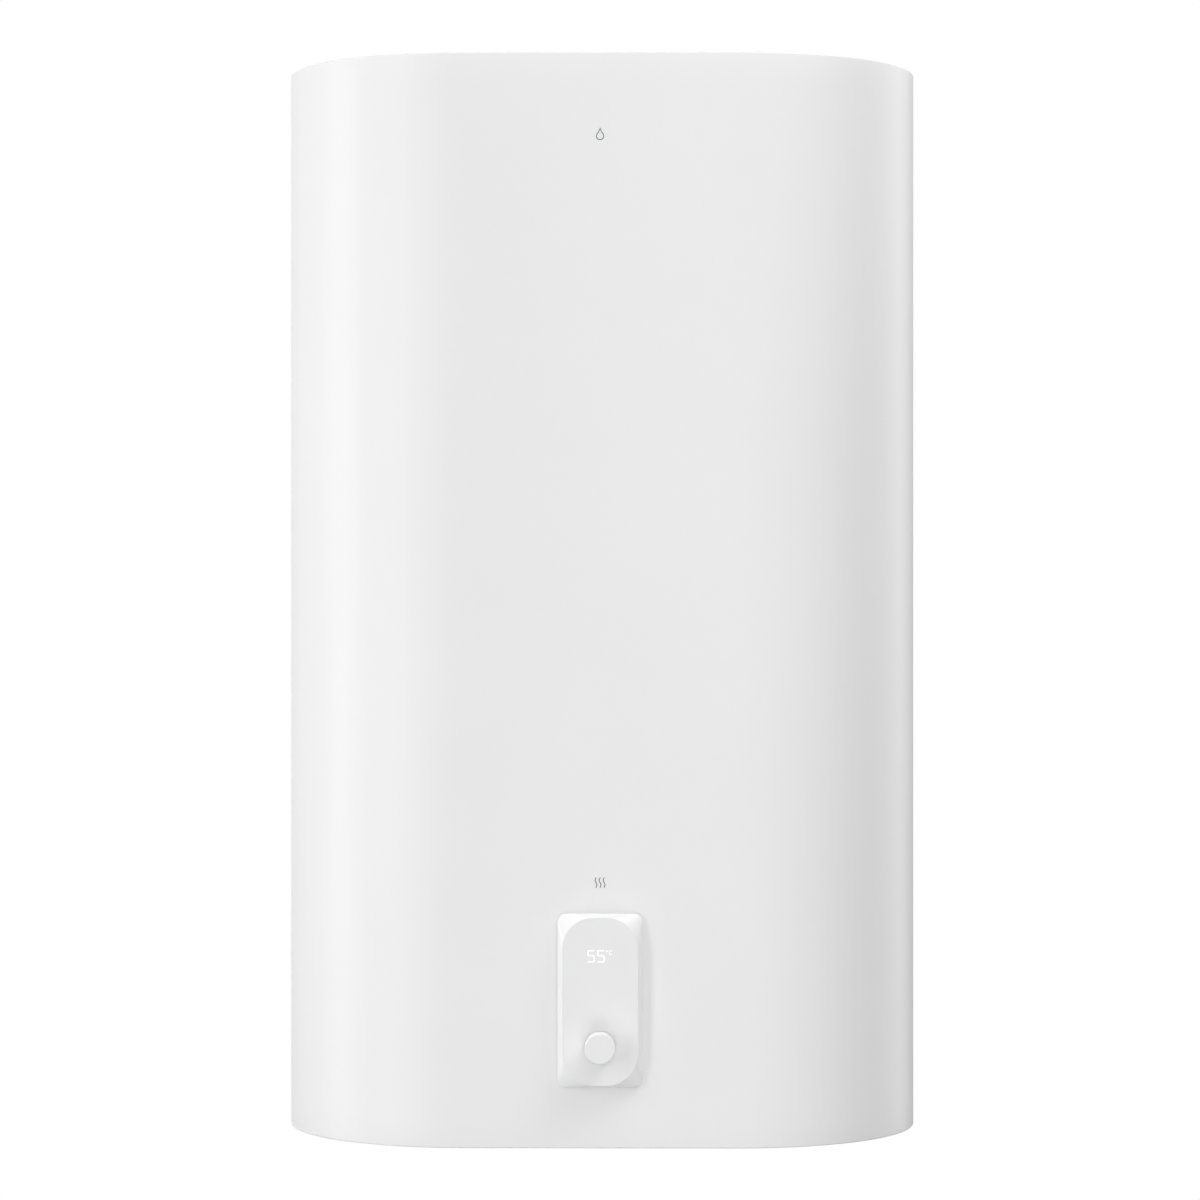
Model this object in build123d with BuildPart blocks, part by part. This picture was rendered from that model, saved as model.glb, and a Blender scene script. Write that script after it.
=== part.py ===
from build123d import *
from math import atan2, cos, degrees, radians, sin, sqrt
import os

os.makedirs("parts", exist_ok=True)

# A slim wall-hung electric storage water heater with two inner tanks, in millimetres.
# Frame: the origin lies on the wall plane, at the centre of the four bracket slots.
# +X is to the right as seen from the front, +Y points at the wall, +Z is up.

# ---- Overall size ----
body_width = 515.0
body_depth = 300.0
body_height = 865.0
wall_gap = 14.0

# ---- Clearances ----
running_fit = 0.1
assembly_gap = 0.1
foam_gap = 0.3
cover_play = 0.5

# ---- Casing and covers ----
sheet = 0.8
bend_radius = 1.2
lip_width = 12.0
cover_thickness = 2.5
cover_screw_radius = 2.0
cover_screw_head_radius = 3.8
cover_screw_head_height = 2.4
cover_screw_spacing = 150.0
cover_boss_radius = 4.5
cover_boss_height = 9.0

# ---- Inner tanks ----
side_foam = 20.0
tank_gap = 3.0
top_foam = 33.5
service_height = 80.0
tank_wall = 1.8
knuckle_share = 0.1
bottom_head_height = 45.0
bottom_knuckle = 30.0

# ---- Flanges, one under each tank ----
flange_radius = 60.0
flange_opening_radius = 42.0
flange_ring_thickness = 8.0
gasket_thickness = 3.0
gasket_rim = 2.0
flange_plate_thickness = 4.0
flange_bolt_circle_radius = 51.0
flange_stud_count = 6
flange_stud_radius = 3.0
flange_nut_flats = 10.0
flange_nut_height = 5.0
stud_end = 2.0

# ---- Heating elements, anodes and sensor pockets ----
element_radius = 4.0
element_leg_offset = 16.0
element_leg_length = 260.0
element_tail = 12.0
terminal_radius = 1.8
terminal_length = 8.0
anode_radius = 11.0
anode_length = 250.0
anode_stud_radius = 3.0
anode_offset = 24.0
pocket_radius = 5.0
pocket_wall = 0.8
pocket_length = 220.0
pocket_offset = 24.0

# ---- Water pipes ----
thread_radius = 10.48
thread_length = 14.0
nipple_radius = 11.5
nipple_bore_radius = 8.0
nipple_to_flange = 8.0
nipple_angle = 29.05
nipple_inside = 25.0
collar_radius = 17.0
collar_height = 4.0
standpipe_wall = 1.0
standpipe_overlap = 20.0
crossover_radius = 7.5
crossover_wall = 1.0
crossover_to_axis = 57.5
crossover_bend = 16.0
crossover_rise = 12.0
crossover_inlet_drop = 8.0
crossover_outlet_height = 60.0

# ---- Wall mounting ----
bracket_inset = 144.5
bracket_length = 260.0
bracket_thickness = 2.5
bracket_leg = 34.0
bracket_bend = 2.5
slot_length = 28.0
slot_radius = 5.5
slot_spacing = 196.0
stud_radius = 4.0
stud_hole_play = 0.5
stud_spacing = 110.0
stud_to_web = 19.0
bracket_nut_flats = 13.0
bracket_nut_height = 6.5
stud_thread_end = 1.5
sleeve_radius = 8.0
bridge_height = 50.0
bridge_thickness = 3.0
bridge_overhang = 20.0

# ---- Service compartment, on the bottom cover ----
foam_skirt = 12.0
pocket_play = 4.0
gland_radius = 10.0
gland_rim_radius = 13.0
gland_rim_height = 4.0
gland_bore_radius = 4.4
gland_nose_length = 10.0
gland_thread_length = 12.0
gland_nut_height = 5.0
gland_to_middle = 60.0
terminal_block_size = (52.0, 22.0, 22.0)
terminal_block_to_middle = 15.0
terminal_screw_radius = 3.0
terminal_screw_depth = 6.0
terminal_pitch = 16.0
terminal_row_spacing = 11.0
cutout_size = (36.0, 26.0, 26.0)
cutout_to_middle = -16.0
cutout_floor = 1.6
reset_stem_radius = 3.0
reset_shoulder_radius = 4.5
reset_shoulder_height = 2.0
reset_proud = 1.0
reset_travel = 1.5
reset_end_gap = 0.3
board_size = (130.0, 60.0)
board_thickness = 1.6
board_to_front = 50.0
board_boss_height = 8.0
board_boss_radius = 3.5
board_boss_inset = 7.0
relay_size = (19.0, 15.5, 15.0)
relay_pitch = 26.0
relay_to_middle = -18.0
heat_sink_size = (34.0, 34.0, 24.0)
heat_sink_base = 4.0
heat_sink_fins = 7
heat_sink_fin = 1.6
heat_sink_to_middle = 30.0
lead_radius = 1.5
lead_bend = 6.0
lead_landing = 10.0
lead_row_spacing = 12.0
panel_cable_radius = 2.5
panel_cable_bend = 8.0

# ---- Control panel ----
panel_width = 67.3
panel_height = 137.0
panel_corner = 7.0
panel_base = 3.0
panel_rise = 7.5
panel_face_inset_x = 3.9
panel_face_inset_z = 2.5
panel_face_flat = 9.5
panel_wall = 2.0
panel_front_wall = 1.8
panel_seat = 0.2
panel_to_bottom = 48.4
window_inset_x = 7.65
window_inset_z = 9.5
window_corner = 8.0
skirt_play = 0.5
skirt_wall = 2.0
skirt_depth = 12.0
snap_proud = 1.0
snap_width = 14.0
snap_height = 1.5
snap_spacing = 70.0
panel_gasket_thickness = 1.0
panel_gasket_width = 6.0
panel_frame_thickness = 2.0
display_board_play = 1.0
display_board_thickness = 1.6
display_board_to_face = 9.7
panel_boss_radius = 3.0
panel_boss_inset_x = 6.0
panel_boss_inset_z = 9.0
panel_screw_radius = 1.25
panel_screw_head_radius = 2.4
panel_screw_head_height = 1.6
panel_screw_length = 7.0
display_size = (34.0, 14.0)
display_gap = 0.2
display_to_top = 30.4

# ---- Rotary knob with a push switch ----
knob_radius = 12.0
knob_height = 15.0
knob_gap = 1.2
knob_wall = 1.6
knob_front_wall = 2.0
knob_edge = 1.0
knob_hub_radius = 5.0
knob_to_face_bottom = 30.6
press_travel = 0.7
press_end_gap = 0.3
shaft_radius = 3.0
shaft_flat_depth = 1.5
shaft_flat_length = 9.0
clip_thickness = 0.6
clip_width = 3.2
clip_length = 8.0
encoder_size = (12.5, 13.5)
encoder_body_depth = 6.0
encoder_bushing_radius = 4.5
encoder_floor = 1.5
plunger_height = 1.5

# ---- Places worked out from the sizes above ----
top_z = body_height / 2
bottom_z = -body_height / 2
back_y = -wall_gap
front_y = back_y - body_depth
middle_y = (front_y + back_y) / 2
cover_top_z = top_z - sheet
cover_floor_z = bottom_z + sheet + cover_thickness

tank_radius = (body_width - 2 * side_foam - tank_gap) / 4
tank_x = tank_radius + tank_gap / 2
tank_top = top_z - top_foam
tank_bottom = bottom_z + service_height
# A dished head: its crown radius is the tank's diameter and its knuckle a tenth of that.
crown_radius = 2 * tank_radius
knuckle_radius = knuckle_share * crown_radius
knuckle_x = tank_radius - knuckle_radius
crown_drop = sqrt((crown_radius - knuckle_radius) ** 2 - knuckle_x**2)
crown_angle = degrees(atan2(crown_drop, knuckle_x))
top_head_height = crown_radius - crown_drop
barrel_top = tank_top - top_head_height
barrel_bottom = tank_bottom + bottom_head_height
tank_back_y = middle_y + tank_radius
sides = {"cold": 1, "hot": -1}

ring_bottom = tank_bottom - flange_ring_thickness
flange_gasket_bottom = ring_bottom - gasket_thickness
plate_bottom = flange_gasket_bottom - flange_plate_thickness
plate_top = flange_gasket_bottom
element_tip = plate_bottom - element_tail

nipple_reach = flange_radius + nipple_to_flange + nipple_radius
nipple_x = tank_x - nipple_reach * cos(radians(nipple_angle))
nipple_y = middle_y + nipple_reach * sin(radians(nipple_angle))
thread_top = bottom_z - collar_height
thread_end = thread_top - thread_length
crossover_x = tank_x - crossover_to_axis
crossover_z = tank_top + crossover_rise

bracket_z = top_z - bracket_inset
web_z = bracket_z - bracket_leg / 2
stud_z = web_z - stud_to_web
bridge_back_y = tank_back_y + assembly_gap + bridge_thickness
stud_places = [(x, z) for x in (-stud_spacing / 2, stud_spacing / 2) for z in (-stud_z, stud_z)]

foam_bottom = tank_bottom + foam_skirt
foam_top = cover_top_z - cover_thickness - foam_gap

panel_z = bottom_z + panel_to_bottom + panel_height / 2
panel_face_y = front_y - panel_seat - panel_base - panel_rise
face_width = panel_width - 2 * panel_face_inset_x
face_height = panel_height - 2 * panel_face_inset_z
panel_face_corner = (face_width - panel_face_flat) / 2
window_width = panel_width - 2 * window_inset_x
window_height = panel_height - 2 * window_inset_z
skirt_width = window_width - 2 * skirt_play
skirt_height = window_height - 2 * skirt_play
skirt_back_y = front_y + skirt_depth
display_board_front_y = panel_face_y + display_board_to_face
display_board_back_y = display_board_front_y + display_board_thickness
display_z = panel_z + face_height / 2 - display_to_top
knob_z = panel_z - face_height / 2 + knob_to_face_bottom

cover_screw_places = [
    (x, y)
    for x in (-cover_screw_spacing / 2, cover_screw_spacing / 2)
    for y in (front_y + lip_width / 2, back_y - lip_width / 2)
]
power_board_y = front_y + board_to_front
power_board_bottom = cover_floor_z + board_boss_height
power_board_top = power_board_bottom + board_thickness
terminal_block_y = middle_y + terminal_block_to_middle
cutout_y = middle_y + cutout_to_middle


def write(piece, name):
    """Label a finished piece and write it as parts/name.step."""
    piece.part.label = name
    export_step(piece.part, f"parts/{name}.step")


def casing_outline(inset):
    """Draw the casing's stadium outline, moved inwards by inset, in the open sketch."""
    with Locations((0, middle_y)):
        SlotOverall(body_width - 2 * inset, body_depth - 2 * inset)


def head_plane(x, z):
    """The plane of a tank head's profile: its X runs from the tank's axis to the wall side."""
    return Plane(origin=(x, middle_y, z), x_dir=(0, 1, 0), z_dir=(1, 0, 0))


def facing_front(y):
    """The plane at depth y that faces the front; its sketches use X and Z."""
    return Plane.XZ.offset(-y)


def crown_arcs(grow):
    """The knuckle and crown arcs of a top head, grown outwards, in the open line block."""
    knuckle = CenterArc((knuckle_x, 0), knuckle_radius + grow, 0, crown_angle)
    crown = CenterArc((0, -crown_drop), crown_radius + grow, crown_angle, 90 - crown_angle)
    return knuckle @ 0, crown @ 1


def base_lines(grow):
    """The wall and knuckle of a bottom head, grown outwards, in the open line block."""
    knuckle_z = bottom_knuckle - bottom_head_height
    knuckle = CenterArc((tank_radius - bottom_knuckle, knuckle_z), bottom_knuckle + grow, 270, 90)
    wall = Line(knuckle @ 1, (tank_radius + grow, 0))
    return knuckle @ 0, wall @ 1


def tank_envelope(x, gap):
    """The outside of a whole tank, grown by gap, for cutting the foam."""
    axis = Axis((x, middle_y, 0), (0, 0, 1))
    with BuildPart() as envelope:
        with BuildSketch(Plane.XY.offset(barrel_bottom)):
            with Locations((x, middle_y)):
                Circle(tank_radius + gap)
        extrude(amount=barrel_top - barrel_bottom)
        with BuildSketch(head_plane(x, barrel_top)):
            with BuildLine():
                rim, apex = crown_arcs(gap)
                Polyline(apex, (0, 0), rim)
            make_face()
        revolve(axis=axis)
        with BuildSketch(head_plane(x, barrel_bottom)):
            with BuildLine():
                flat, rim = base_lines(gap)
                Polyline(rim, (0, 0), (0, -bottom_head_height - gap), flat)
            make_face()
        revolve(axis=axis)
    return envelope.part


def crossover_path():
    """The crossover pipe's centre line: out of one tank's top and down inside the other."""
    crown_z = barrel_top - crown_drop + sqrt(crown_radius**2 - crossover_to_axis**2)
    inlet_z = crown_z - crossover_inlet_drop
    outlet_z = tank_bottom + crossover_outlet_height
    points = [
        (crossover_x, middle_y, inlet_z),
        (crossover_x, middle_y, crossover_z),
        (-crossover_x, middle_y, crossover_z),
        (-crossover_x, middle_y, outlet_z),
    ]
    return points


# ---- Casing shell: one wrap of sheet steel with an inward lip at each end ----
with BuildPart() as casing_shell:
    with BuildSketch(Plane.XY.offset(bottom_z)):
        casing_outline(0)
    extrude(amount=body_height)
    rims = casing_shell.edges().group_by(Axis.Z)
    fillet(rims[0] + rims[-1], bend_radius)
    with BuildSketch(Plane.XY.offset(bottom_z + sheet)):
        casing_outline(sheet)
    extrude(amount=body_height - 2 * sheet, mode=Mode.SUBTRACT)
    with BuildSketch(Plane.XY.offset(bottom_z)):
        casing_outline(lip_width)
    extrude(amount=body_height, mode=Mode.SUBTRACT)
    with BuildSketch(facing_front(front_y + 2 * sheet)):
        with Locations((0, panel_z)):
            RectangleRounded(window_width, window_height, window_corner)
    extrude(amount=4 * sheet, mode=Mode.SUBTRACT)
    with BuildSketch(facing_front(back_y + sheet)):
        with Locations(*stud_places):
            Circle(stud_radius + stud_hole_play)
    extrude(amount=4 * sheet, mode=Mode.SUBTRACT)
    with BuildSketch(Plane.XY.offset(bottom_z - sheet)):
        with Locations(*cover_screw_places):
            Circle(cover_screw_radius + stud_hole_play)
    extrude(amount=4 * sheet, mode=Mode.SUBTRACT)
write(casing_shell, "casing_shell")

# ---- Top cover: trapped under the lip, with a raised middle that fills the lip's opening ----
with BuildPart() as top_cover:
    with BuildSketch(Plane.XY.offset(cover_top_z)):
        casing_outline(sheet + cover_play)
    extrude(amount=-cover_thickness)
    with BuildSketch(Plane.XY.offset(cover_top_z)):
        casing_outline(lip_width + cover_play)
    extrude(amount=sheet)
write(top_cover, "top_cover")

# ---- Bottom cover: the same plate upside down, with bosses and holes for what it carries ----
board_posts = [
    (x, power_board_y + y)
    for x in (board_boss_inset - board_size[0] / 2, board_size[0] / 2 - board_boss_inset)
    for y in (board_boss_inset - board_size[1] / 2, board_size[1] / 2 - board_boss_inset)
]
with BuildPart() as bottom_cover:
    with BuildSketch(Plane.XY.offset(bottom_z + sheet)):
        casing_outline(sheet + cover_play)
    extrude(amount=cover_thickness)
    with BuildSketch(Plane.XY.offset(bottom_z)):
        casing_outline(lip_width + cover_play)
    extrude(amount=sheet)
    with BuildSketch(Plane.XY.offset(cover_floor_z)):
        with Locations(*cover_screw_places):
            Circle(cover_boss_radius)
    extrude(amount=cover_boss_height)
    with BuildSketch(Plane.XY.offset(cover_floor_z)):
        with Locations(*board_posts):
            Circle(board_boss_radius)
    extrude(amount=board_boss_height)
    with BuildSketch(Plane.XY.offset(bottom_z)):
        with Locations(*cover_screw_places):
            Circle(cover_screw_radius + assembly_gap)
    extrude(amount=sheet + cover_thickness + cover_boss_height, mode=Mode.SUBTRACT)
    with BuildSketch(Plane.XY.offset(bottom_z)):
        with Locations((nipple_x, nipple_y), (-nipple_x, nipple_y)):
            Circle(nipple_radius + cover_play)
        with Locations((0, middle_y + gland_to_middle)):
            Circle(gland_radius + assembly_gap)
        with Locations((0, cutout_y)):
            Circle(reset_stem_radius + 2 * running_fit)
    extrude(amount=sheet + cover_thickness, mode=Mode.SUBTRACT)
write(bottom_cover, "bottom_cover")

with BuildPart() as cover_screws:
    with BuildSketch(Plane.XY.offset(bottom_z)):
        with Locations(*cover_screw_places):
            Circle(cover_screw_head_radius)
    extrude(amount=-cover_screw_head_height)
    fillet(cover_screws.edges().group_by(Axis.Z)[0], cover_screw_head_height / 3)
    with BuildSketch(Plane.XY.offset(bottom_z - cover_screw_head_height)):
        with Locations(*cover_screw_places):
            Rectangle(cover_screw_radius * 2, cover_screw_radius / 3)
            Rectangle(cover_screw_radius / 3, cover_screw_radius * 2)
    extrude(amount=cover_screw_head_height / 2, mode=Mode.SUBTRACT)
    with BuildSketch(Plane.XY.offset(bottom_z)):
        with Locations(*cover_screw_places):
            Circle(cover_screw_radius)
    extrude(amount=cover_boss_height)
write(cover_screws, "cover_screws")

# ---- The two tanks, each a barrel with a domed top and a flat-bottomed lower head ----
for side, sign in sides.items():
    x = sign * tank_x
    axis = Axis((x, middle_y, 0), (0, 0, 1))

    with BuildPart() as barrel:
        with BuildSketch(Plane.XY.offset(barrel_bottom)):
            with Locations((x, middle_y)):
                Circle(tank_radius)
                Circle(tank_radius - tank_wall, mode=Mode.SUBTRACT)
        extrude(amount=barrel_top - barrel_bottom)
    write(barrel, f"{side}_tank_barrel")

    with BuildPart() as top_head:
        with BuildSketch(head_plane(x, barrel_top)):
            with BuildLine():
                outer_rim, outer_apex = crown_arcs(0)
                inner_rim, inner_apex = crown_arcs(-tank_wall)
                Line(outer_rim, inner_rim)
                Line(outer_apex, inner_apex)
            make_face()
        revolve(axis=axis)
        with BuildSketch(Plane.XY.offset(barrel_top)):
            with Locations((sign * crossover_x, middle_y)):
                Circle(crossover_radius + assembly_gap)
        extrude(amount=top_head_height, mode=Mode.SUBTRACT)
    write(top_head, f"{side}_tank_top_head")

    with BuildPart() as bottom_head:
        with BuildSketch(head_plane(x, barrel_bottom)):
            with BuildLine():
                outer_flat, outer_rim = base_lines(0)
                inner_flat, inner_rim = base_lines(-tank_wall)
                Line(outer_rim, inner_rim)
                Polyline(
                    outer_flat,
                    (flange_opening_radius, -bottom_head_height),
                    (flange_opening_radius, tank_wall - bottom_head_height),
                    inner_flat,
                )
            make_face()
        revolve(axis=axis)
        with BuildSketch(Plane.XY.offset(tank_bottom)):
            with Locations((sign * nipple_x, nipple_y)):
                Circle(nipple_radius + assembly_gap)
        extrude(amount=bottom_head_height, mode=Mode.SUBTRACT)
    write(bottom_head, f"{side}_tank_bottom_head")

# ---- Flange under each tank, with its gasket, plate and what the plate carries ----
for side, sign in sides.items():
    x = sign * tank_x
    centre = (x, middle_y)
    legs = [(x - element_leg_offset, middle_y), (x + element_leg_offset, middle_y)]
    anode_place = (x, middle_y + anode_offset)
    pocket_place = (x, middle_y - pocket_offset)

    with BuildPart() as ring:
        with BuildSketch(Plane.XY.offset(tank_bottom)):
            with Locations(centre):
                Circle(flange_radius)
                Circle(flange_opening_radius, mode=Mode.SUBTRACT)
                with PolarLocations(flange_bolt_circle_radius, flange_stud_count):
                    Circle(flange_stud_radius + assembly_gap, mode=Mode.SUBTRACT)
        extrude(amount=-flange_ring_thickness)
    write(ring, f"{side}_flange_ring")

    with BuildPart() as gasket:
        with BuildSketch(Plane.XY.offset(ring_bottom)):
            with Locations(centre):
                Circle(flange_radius - gasket_rim)
                Circle(flange_opening_radius, mode=Mode.SUBTRACT)
                with PolarLocations(flange_bolt_circle_radius, flange_stud_count):
                    Circle(flange_stud_radius + stud_hole_play, mode=Mode.SUBTRACT)
        extrude(amount=-gasket_thickness)
    write(gasket, f"{side}_flange_gasket")

    with BuildPart() as plate:
        with BuildSketch(Plane.XY.offset(plate_top)):
            with Locations(centre):
                Circle(flange_radius)
                with PolarLocations(flange_bolt_circle_radius, flange_stud_count):
                    Circle(flange_stud_radius + stud_hole_play, mode=Mode.SUBTRACT)
            with Locations(*legs):
                Circle(element_radius + assembly_gap, mode=Mode.SUBTRACT)
            with Locations(anode_place):
                Circle(anode_stud_radius + assembly_gap, mode=Mode.SUBTRACT)
            with Locations(pocket_place):
                Circle(pocket_radius + assembly_gap, mode=Mode.SUBTRACT)
        extrude(amount=-flange_plate_thickness)
    write(plate, f"{side}_flange_plate")

    with BuildPart() as element:
        with BuildLine(Plane(origin=(x, middle_y, element_tip), x_dir=(1, 0, 0), z_dir=(0, -1, 0))):
            rise = element_leg_length + flange_plate_thickness + element_tail
            up = Line((-element_leg_offset, 0), (-element_leg_offset, rise))
            bend = ThreePointArc(
                up @ 1, (0, rise + element_leg_offset), (element_leg_offset, rise)
            )
            Line(bend @ 1, (element_leg_offset, 0))
        with BuildSketch(Plane.XY.offset(element_tip)):
            with Locations(legs[0]):
                Circle(element_radius)
        sweep()
        with BuildSketch(Plane.XY.offset(element_tip)):
            with Locations(*legs):
                Circle(terminal_radius)
        extrude(amount=-terminal_length)
    write(element, f"{side}_heating_element")

    with BuildPart() as anode:
        with BuildSketch(Plane.XY.offset(plate_top)):
            with Locations(anode_place):
                Circle(anode_radius)
        extrude(amount=anode_length)
        chamfer(anode.edges().group_by(Axis.Z)[-1], anode_radius / 4)
        with BuildSketch(Plane.XY.offset(plate_top)):
            with Locations(anode_place):
                Circle(anode_stud_radius)
        extrude(amount=-flange_plate_thickness - stud_end)
    write(anode, f"{side}_anode_rod")

    with BuildPart() as pocket:
        with BuildSketch(Plane.XY.offset(plate_bottom - stud_end)):
            with Locations(pocket_place):
                Circle(pocket_radius)
        extrude(amount=pocket_length)
        with BuildSketch(Plane.XY.offset(plate_bottom - stud_end)):
            with Locations(pocket_place):
                Circle(pocket_radius - pocket_wall)
        extrude(amount=pocket_length - pocket_wall, mode=Mode.SUBTRACT)
    write(pocket, f"{side}_sensor_pocket")

with BuildPart() as flange_studs:
    with BuildSketch(Plane.XY.offset(tank_bottom)):
        for sign in sides.values():
            with Locations((sign * tank_x, middle_y)):
                with PolarLocations(flange_bolt_circle_radius, flange_stud_count):
                    Circle(flange_stud_radius)
    extrude(amount=plate_bottom - flange_nut_height - stud_end - tank_bottom)
write(flange_studs, "flange_studs")

with BuildPart() as flange_nuts:
    with BuildSketch(Plane.XY.offset(plate_bottom)):
        for sign in sides.values():
            with Locations((sign * tank_x, middle_y)):
                with PolarLocations(flange_bolt_circle_radius, flange_stud_count):
                    RegularPolygon(flange_nut_flats / 2, 6, major_radius=False)
                    Circle(flange_stud_radius + assembly_gap, mode=Mode.SUBTRACT)
    extrude(amount=-flange_nut_height)
write(flange_nuts, "flange_nuts")

# ---- Water pipes: two threaded nipples, the hot standpipe and the crossover ----
for side, name in (("cold", "cold_inlet_pipe"), ("hot", "hot_outlet_pipe")):
    place = (sides[side] * nipple_x, nipple_y)
    with BuildPart() as nipple:
        with BuildSketch(Plane.XY.offset(thread_end)):
            with Locations(place):
                Circle(thread_radius)
        extrude(amount=thread_length)
        with BuildSketch(Plane.XY.offset(thread_top)):
            with Locations(place):
                Circle(nipple_radius)
        extrude(amount=tank_bottom + nipple_inside - thread_top)
        with BuildSketch(Plane.XY.offset(thread_end)):
            with Locations(place):
                Circle(nipple_bore_radius)
        extrude(amount=tank_bottom + nipple_inside - thread_end, mode=Mode.SUBTRACT)
    write(nipple, name)

    with BuildPart() as collar:
        with BuildSketch(Plane.XY.offset(thread_top)):
            with Locations(place):
                Circle(collar_radius)
                Circle(nipple_radius + assembly_gap, mode=Mode.SUBTRACT)
        extrude(amount=collar_height)
        fillet(collar.edges().group_by(Axis.Z)[0].sort_by(SortBy.RADIUS)[-1], collar_height / 3)
    write(collar, f"{side}_pipe_collar")

standpipe_bottom = tank_bottom + nipple_inside - standpipe_overlap
with BuildPart() as hot_standpipe:
    with BuildSketch(Plane.XY.offset(standpipe_bottom)):
        with Locations((-nipple_x, nipple_y)):
            Circle(nipple_bore_radius - assembly_gap)
            Circle(nipple_bore_radius - assembly_gap - standpipe_wall, mode=Mode.SUBTRACT)
    extrude(amount=barrel_top + knuckle_radius / 2 - standpipe_bottom)
write(hot_standpipe, "hot_standpipe")

with BuildPart() as crossover_pipe:
    with BuildLine():
        FilletPolyline(*crossover_path(), radius=crossover_bend)
    with BuildSketch(Plane.XY.offset(crossover_path()[0][2])):
        with Locations((crossover_x, middle_y)):
            Circle(crossover_radius)
            Circle(crossover_radius - crossover_wall, mode=Mode.SUBTRACT)
    sweep()
write(crossover_pipe, "crossover_pipe")

# ---- Rigid foam between the tanks and the casing ----
cold_envelope = tank_envelope(tank_x, foam_gap)
hot_envelope = tank_envelope(-tank_x, foam_gap)
with BuildPart() as crossover_space:
    with BuildLine():
        FilletPolyline(*crossover_path(), radius=crossover_bend)
    with BuildSketch(Plane.XY.offset(crossover_path()[0][2])):
        with Locations((crossover_x, middle_y)):
            Circle(crossover_radius + foam_gap)
    sweep()

bridge_length = 2 * (tank_x + bridge_overhang)
with BuildPart() as foam_insulation:
    with BuildSketch(Plane.XY.offset(foam_bottom)):
        casing_outline(sheet + foam_gap)
    extrude(amount=foam_top - foam_bottom)
    add(cold_envelope, mode=Mode.SUBTRACT)
    add(hot_envelope, mode=Mode.SUBTRACT)
    add(crossover_space.part, mode=Mode.SUBTRACT)
    with BuildSketch(facing_front(back_y)):
        with Locations(*stud_places):
            Circle(sleeve_radius + foam_gap)
    extrude(amount=back_y - tank_back_y, mode=Mode.SUBTRACT)
    with BuildSketch(facing_front(bridge_back_y + foam_gap)):
        with Locations((0, stud_z), (0, -stud_z)):
            Rectangle(bridge_length + 2 * foam_gap, bridge_height + 2 * foam_gap)
    extrude(amount=bridge_thickness + 2 * foam_gap, mode=Mode.SUBTRACT)
    with BuildSketch(Plane.XY.offset(foam_bottom)):
        with Locations((0, front_y)):
            Rectangle(
                window_width + 2 * panel_gasket_width + pocket_play,
                2 * (skirt_depth + pocket_play + 2 * panel_cable_bend),
            )
    extrude(
        amount=panel_z + window_height / 2 + panel_gasket_width + pocket_play - foam_bottom,
        mode=Mode.SUBTRACT,
    )
write(foam_insulation, "foam_insulation")

# ---- Wall mounting: bridges on the tanks, studs through the casing, brackets on the wall ----
for place, sign in (("upper", 1), ("lower", -1)):
    with BuildPart() as bridge:
        with BuildSketch(facing_front(bridge_back_y)):
            with Locations((0, sign * stud_z)):
                Rectangle(bridge_length, bridge_height)
                with Locations((-stud_spacing / 2, 0), (stud_spacing / 2, 0)):
                    Circle(stud_radius + assembly_gap, mode=Mode.SUBTRACT)
        extrude(amount=bridge_thickness)
        fillet(bridge.edges().filter_by(Axis.Y), stud_radius)
    write(bridge, f"{place}_tank_bridge")

    with BuildPart() as bracket:
        with BuildSketch(Plane.YZ.offset(-bracket_length / 2)):
            half = bracket_thickness / 2
            with BuildLine():
                FilletPolyline(
                    (-half, sign * (bracket_z + bracket_leg / 2)),
                    (-half, sign * (web_z - half)),
                    (back_y + half, sign * (web_z - half)),
                    (back_y + half, sign * (web_z - bracket_leg)),
                    radius=bracket_bend,
                )
            trace(line_width=bracket_thickness)
        extrude(amount=bracket_length)
        with BuildSketch(facing_front(0)):
            with Locations((-slot_spacing / 2, sign * bracket_z), (slot_spacing / 2, sign * bracket_z)):
                SlotOverall(slot_length, 2 * slot_radius)
        extrude(amount=bracket_thickness, mode=Mode.SUBTRACT)
        with BuildSketch(facing_front(back_y + bracket_thickness)):
            with Locations((-stud_spacing / 2, sign * stud_z), (stud_spacing / 2, sign * stud_z)):
                Circle(stud_radius + stud_hole_play)
        extrude(amount=bracket_thickness, mode=Mode.SUBTRACT)
    write(bracket, f"{place}_wall_bracket")

nut_back_y = back_y + bracket_thickness + bracket_nut_height
stud_end_y = nut_back_y + stud_thread_end
with BuildPart() as bracket_studs:
    with BuildSketch(facing_front(stud_end_y)):
        with Locations(*stud_places):
            Circle(stud_radius)
    extrude(amount=stud_end_y - tank_back_y - assembly_gap)
write(bracket_studs, "bracket_studs")

with BuildPart() as stud_sleeves:
    with BuildSketch(facing_front(back_y - sheet)):
        with Locations(*stud_places):
            Circle(sleeve_radius)
            Circle(stud_radius + assembly_gap, mode=Mode.SUBTRACT)
    extrude(amount=back_y - sheet - bridge_back_y)
write(stud_sleeves, "stud_sleeves")

with BuildPart() as bracket_nuts:
    with BuildSketch(facing_front(nut_back_y)):
        with Locations(*stud_places):
            RegularPolygon(bracket_nut_flats / 2, 6, major_radius=False)
            Circle(stud_radius + assembly_gap, mode=Mode.SUBTRACT)
    extrude(amount=bracket_nut_height)
write(bracket_nuts, "bracket_nuts")

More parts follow.
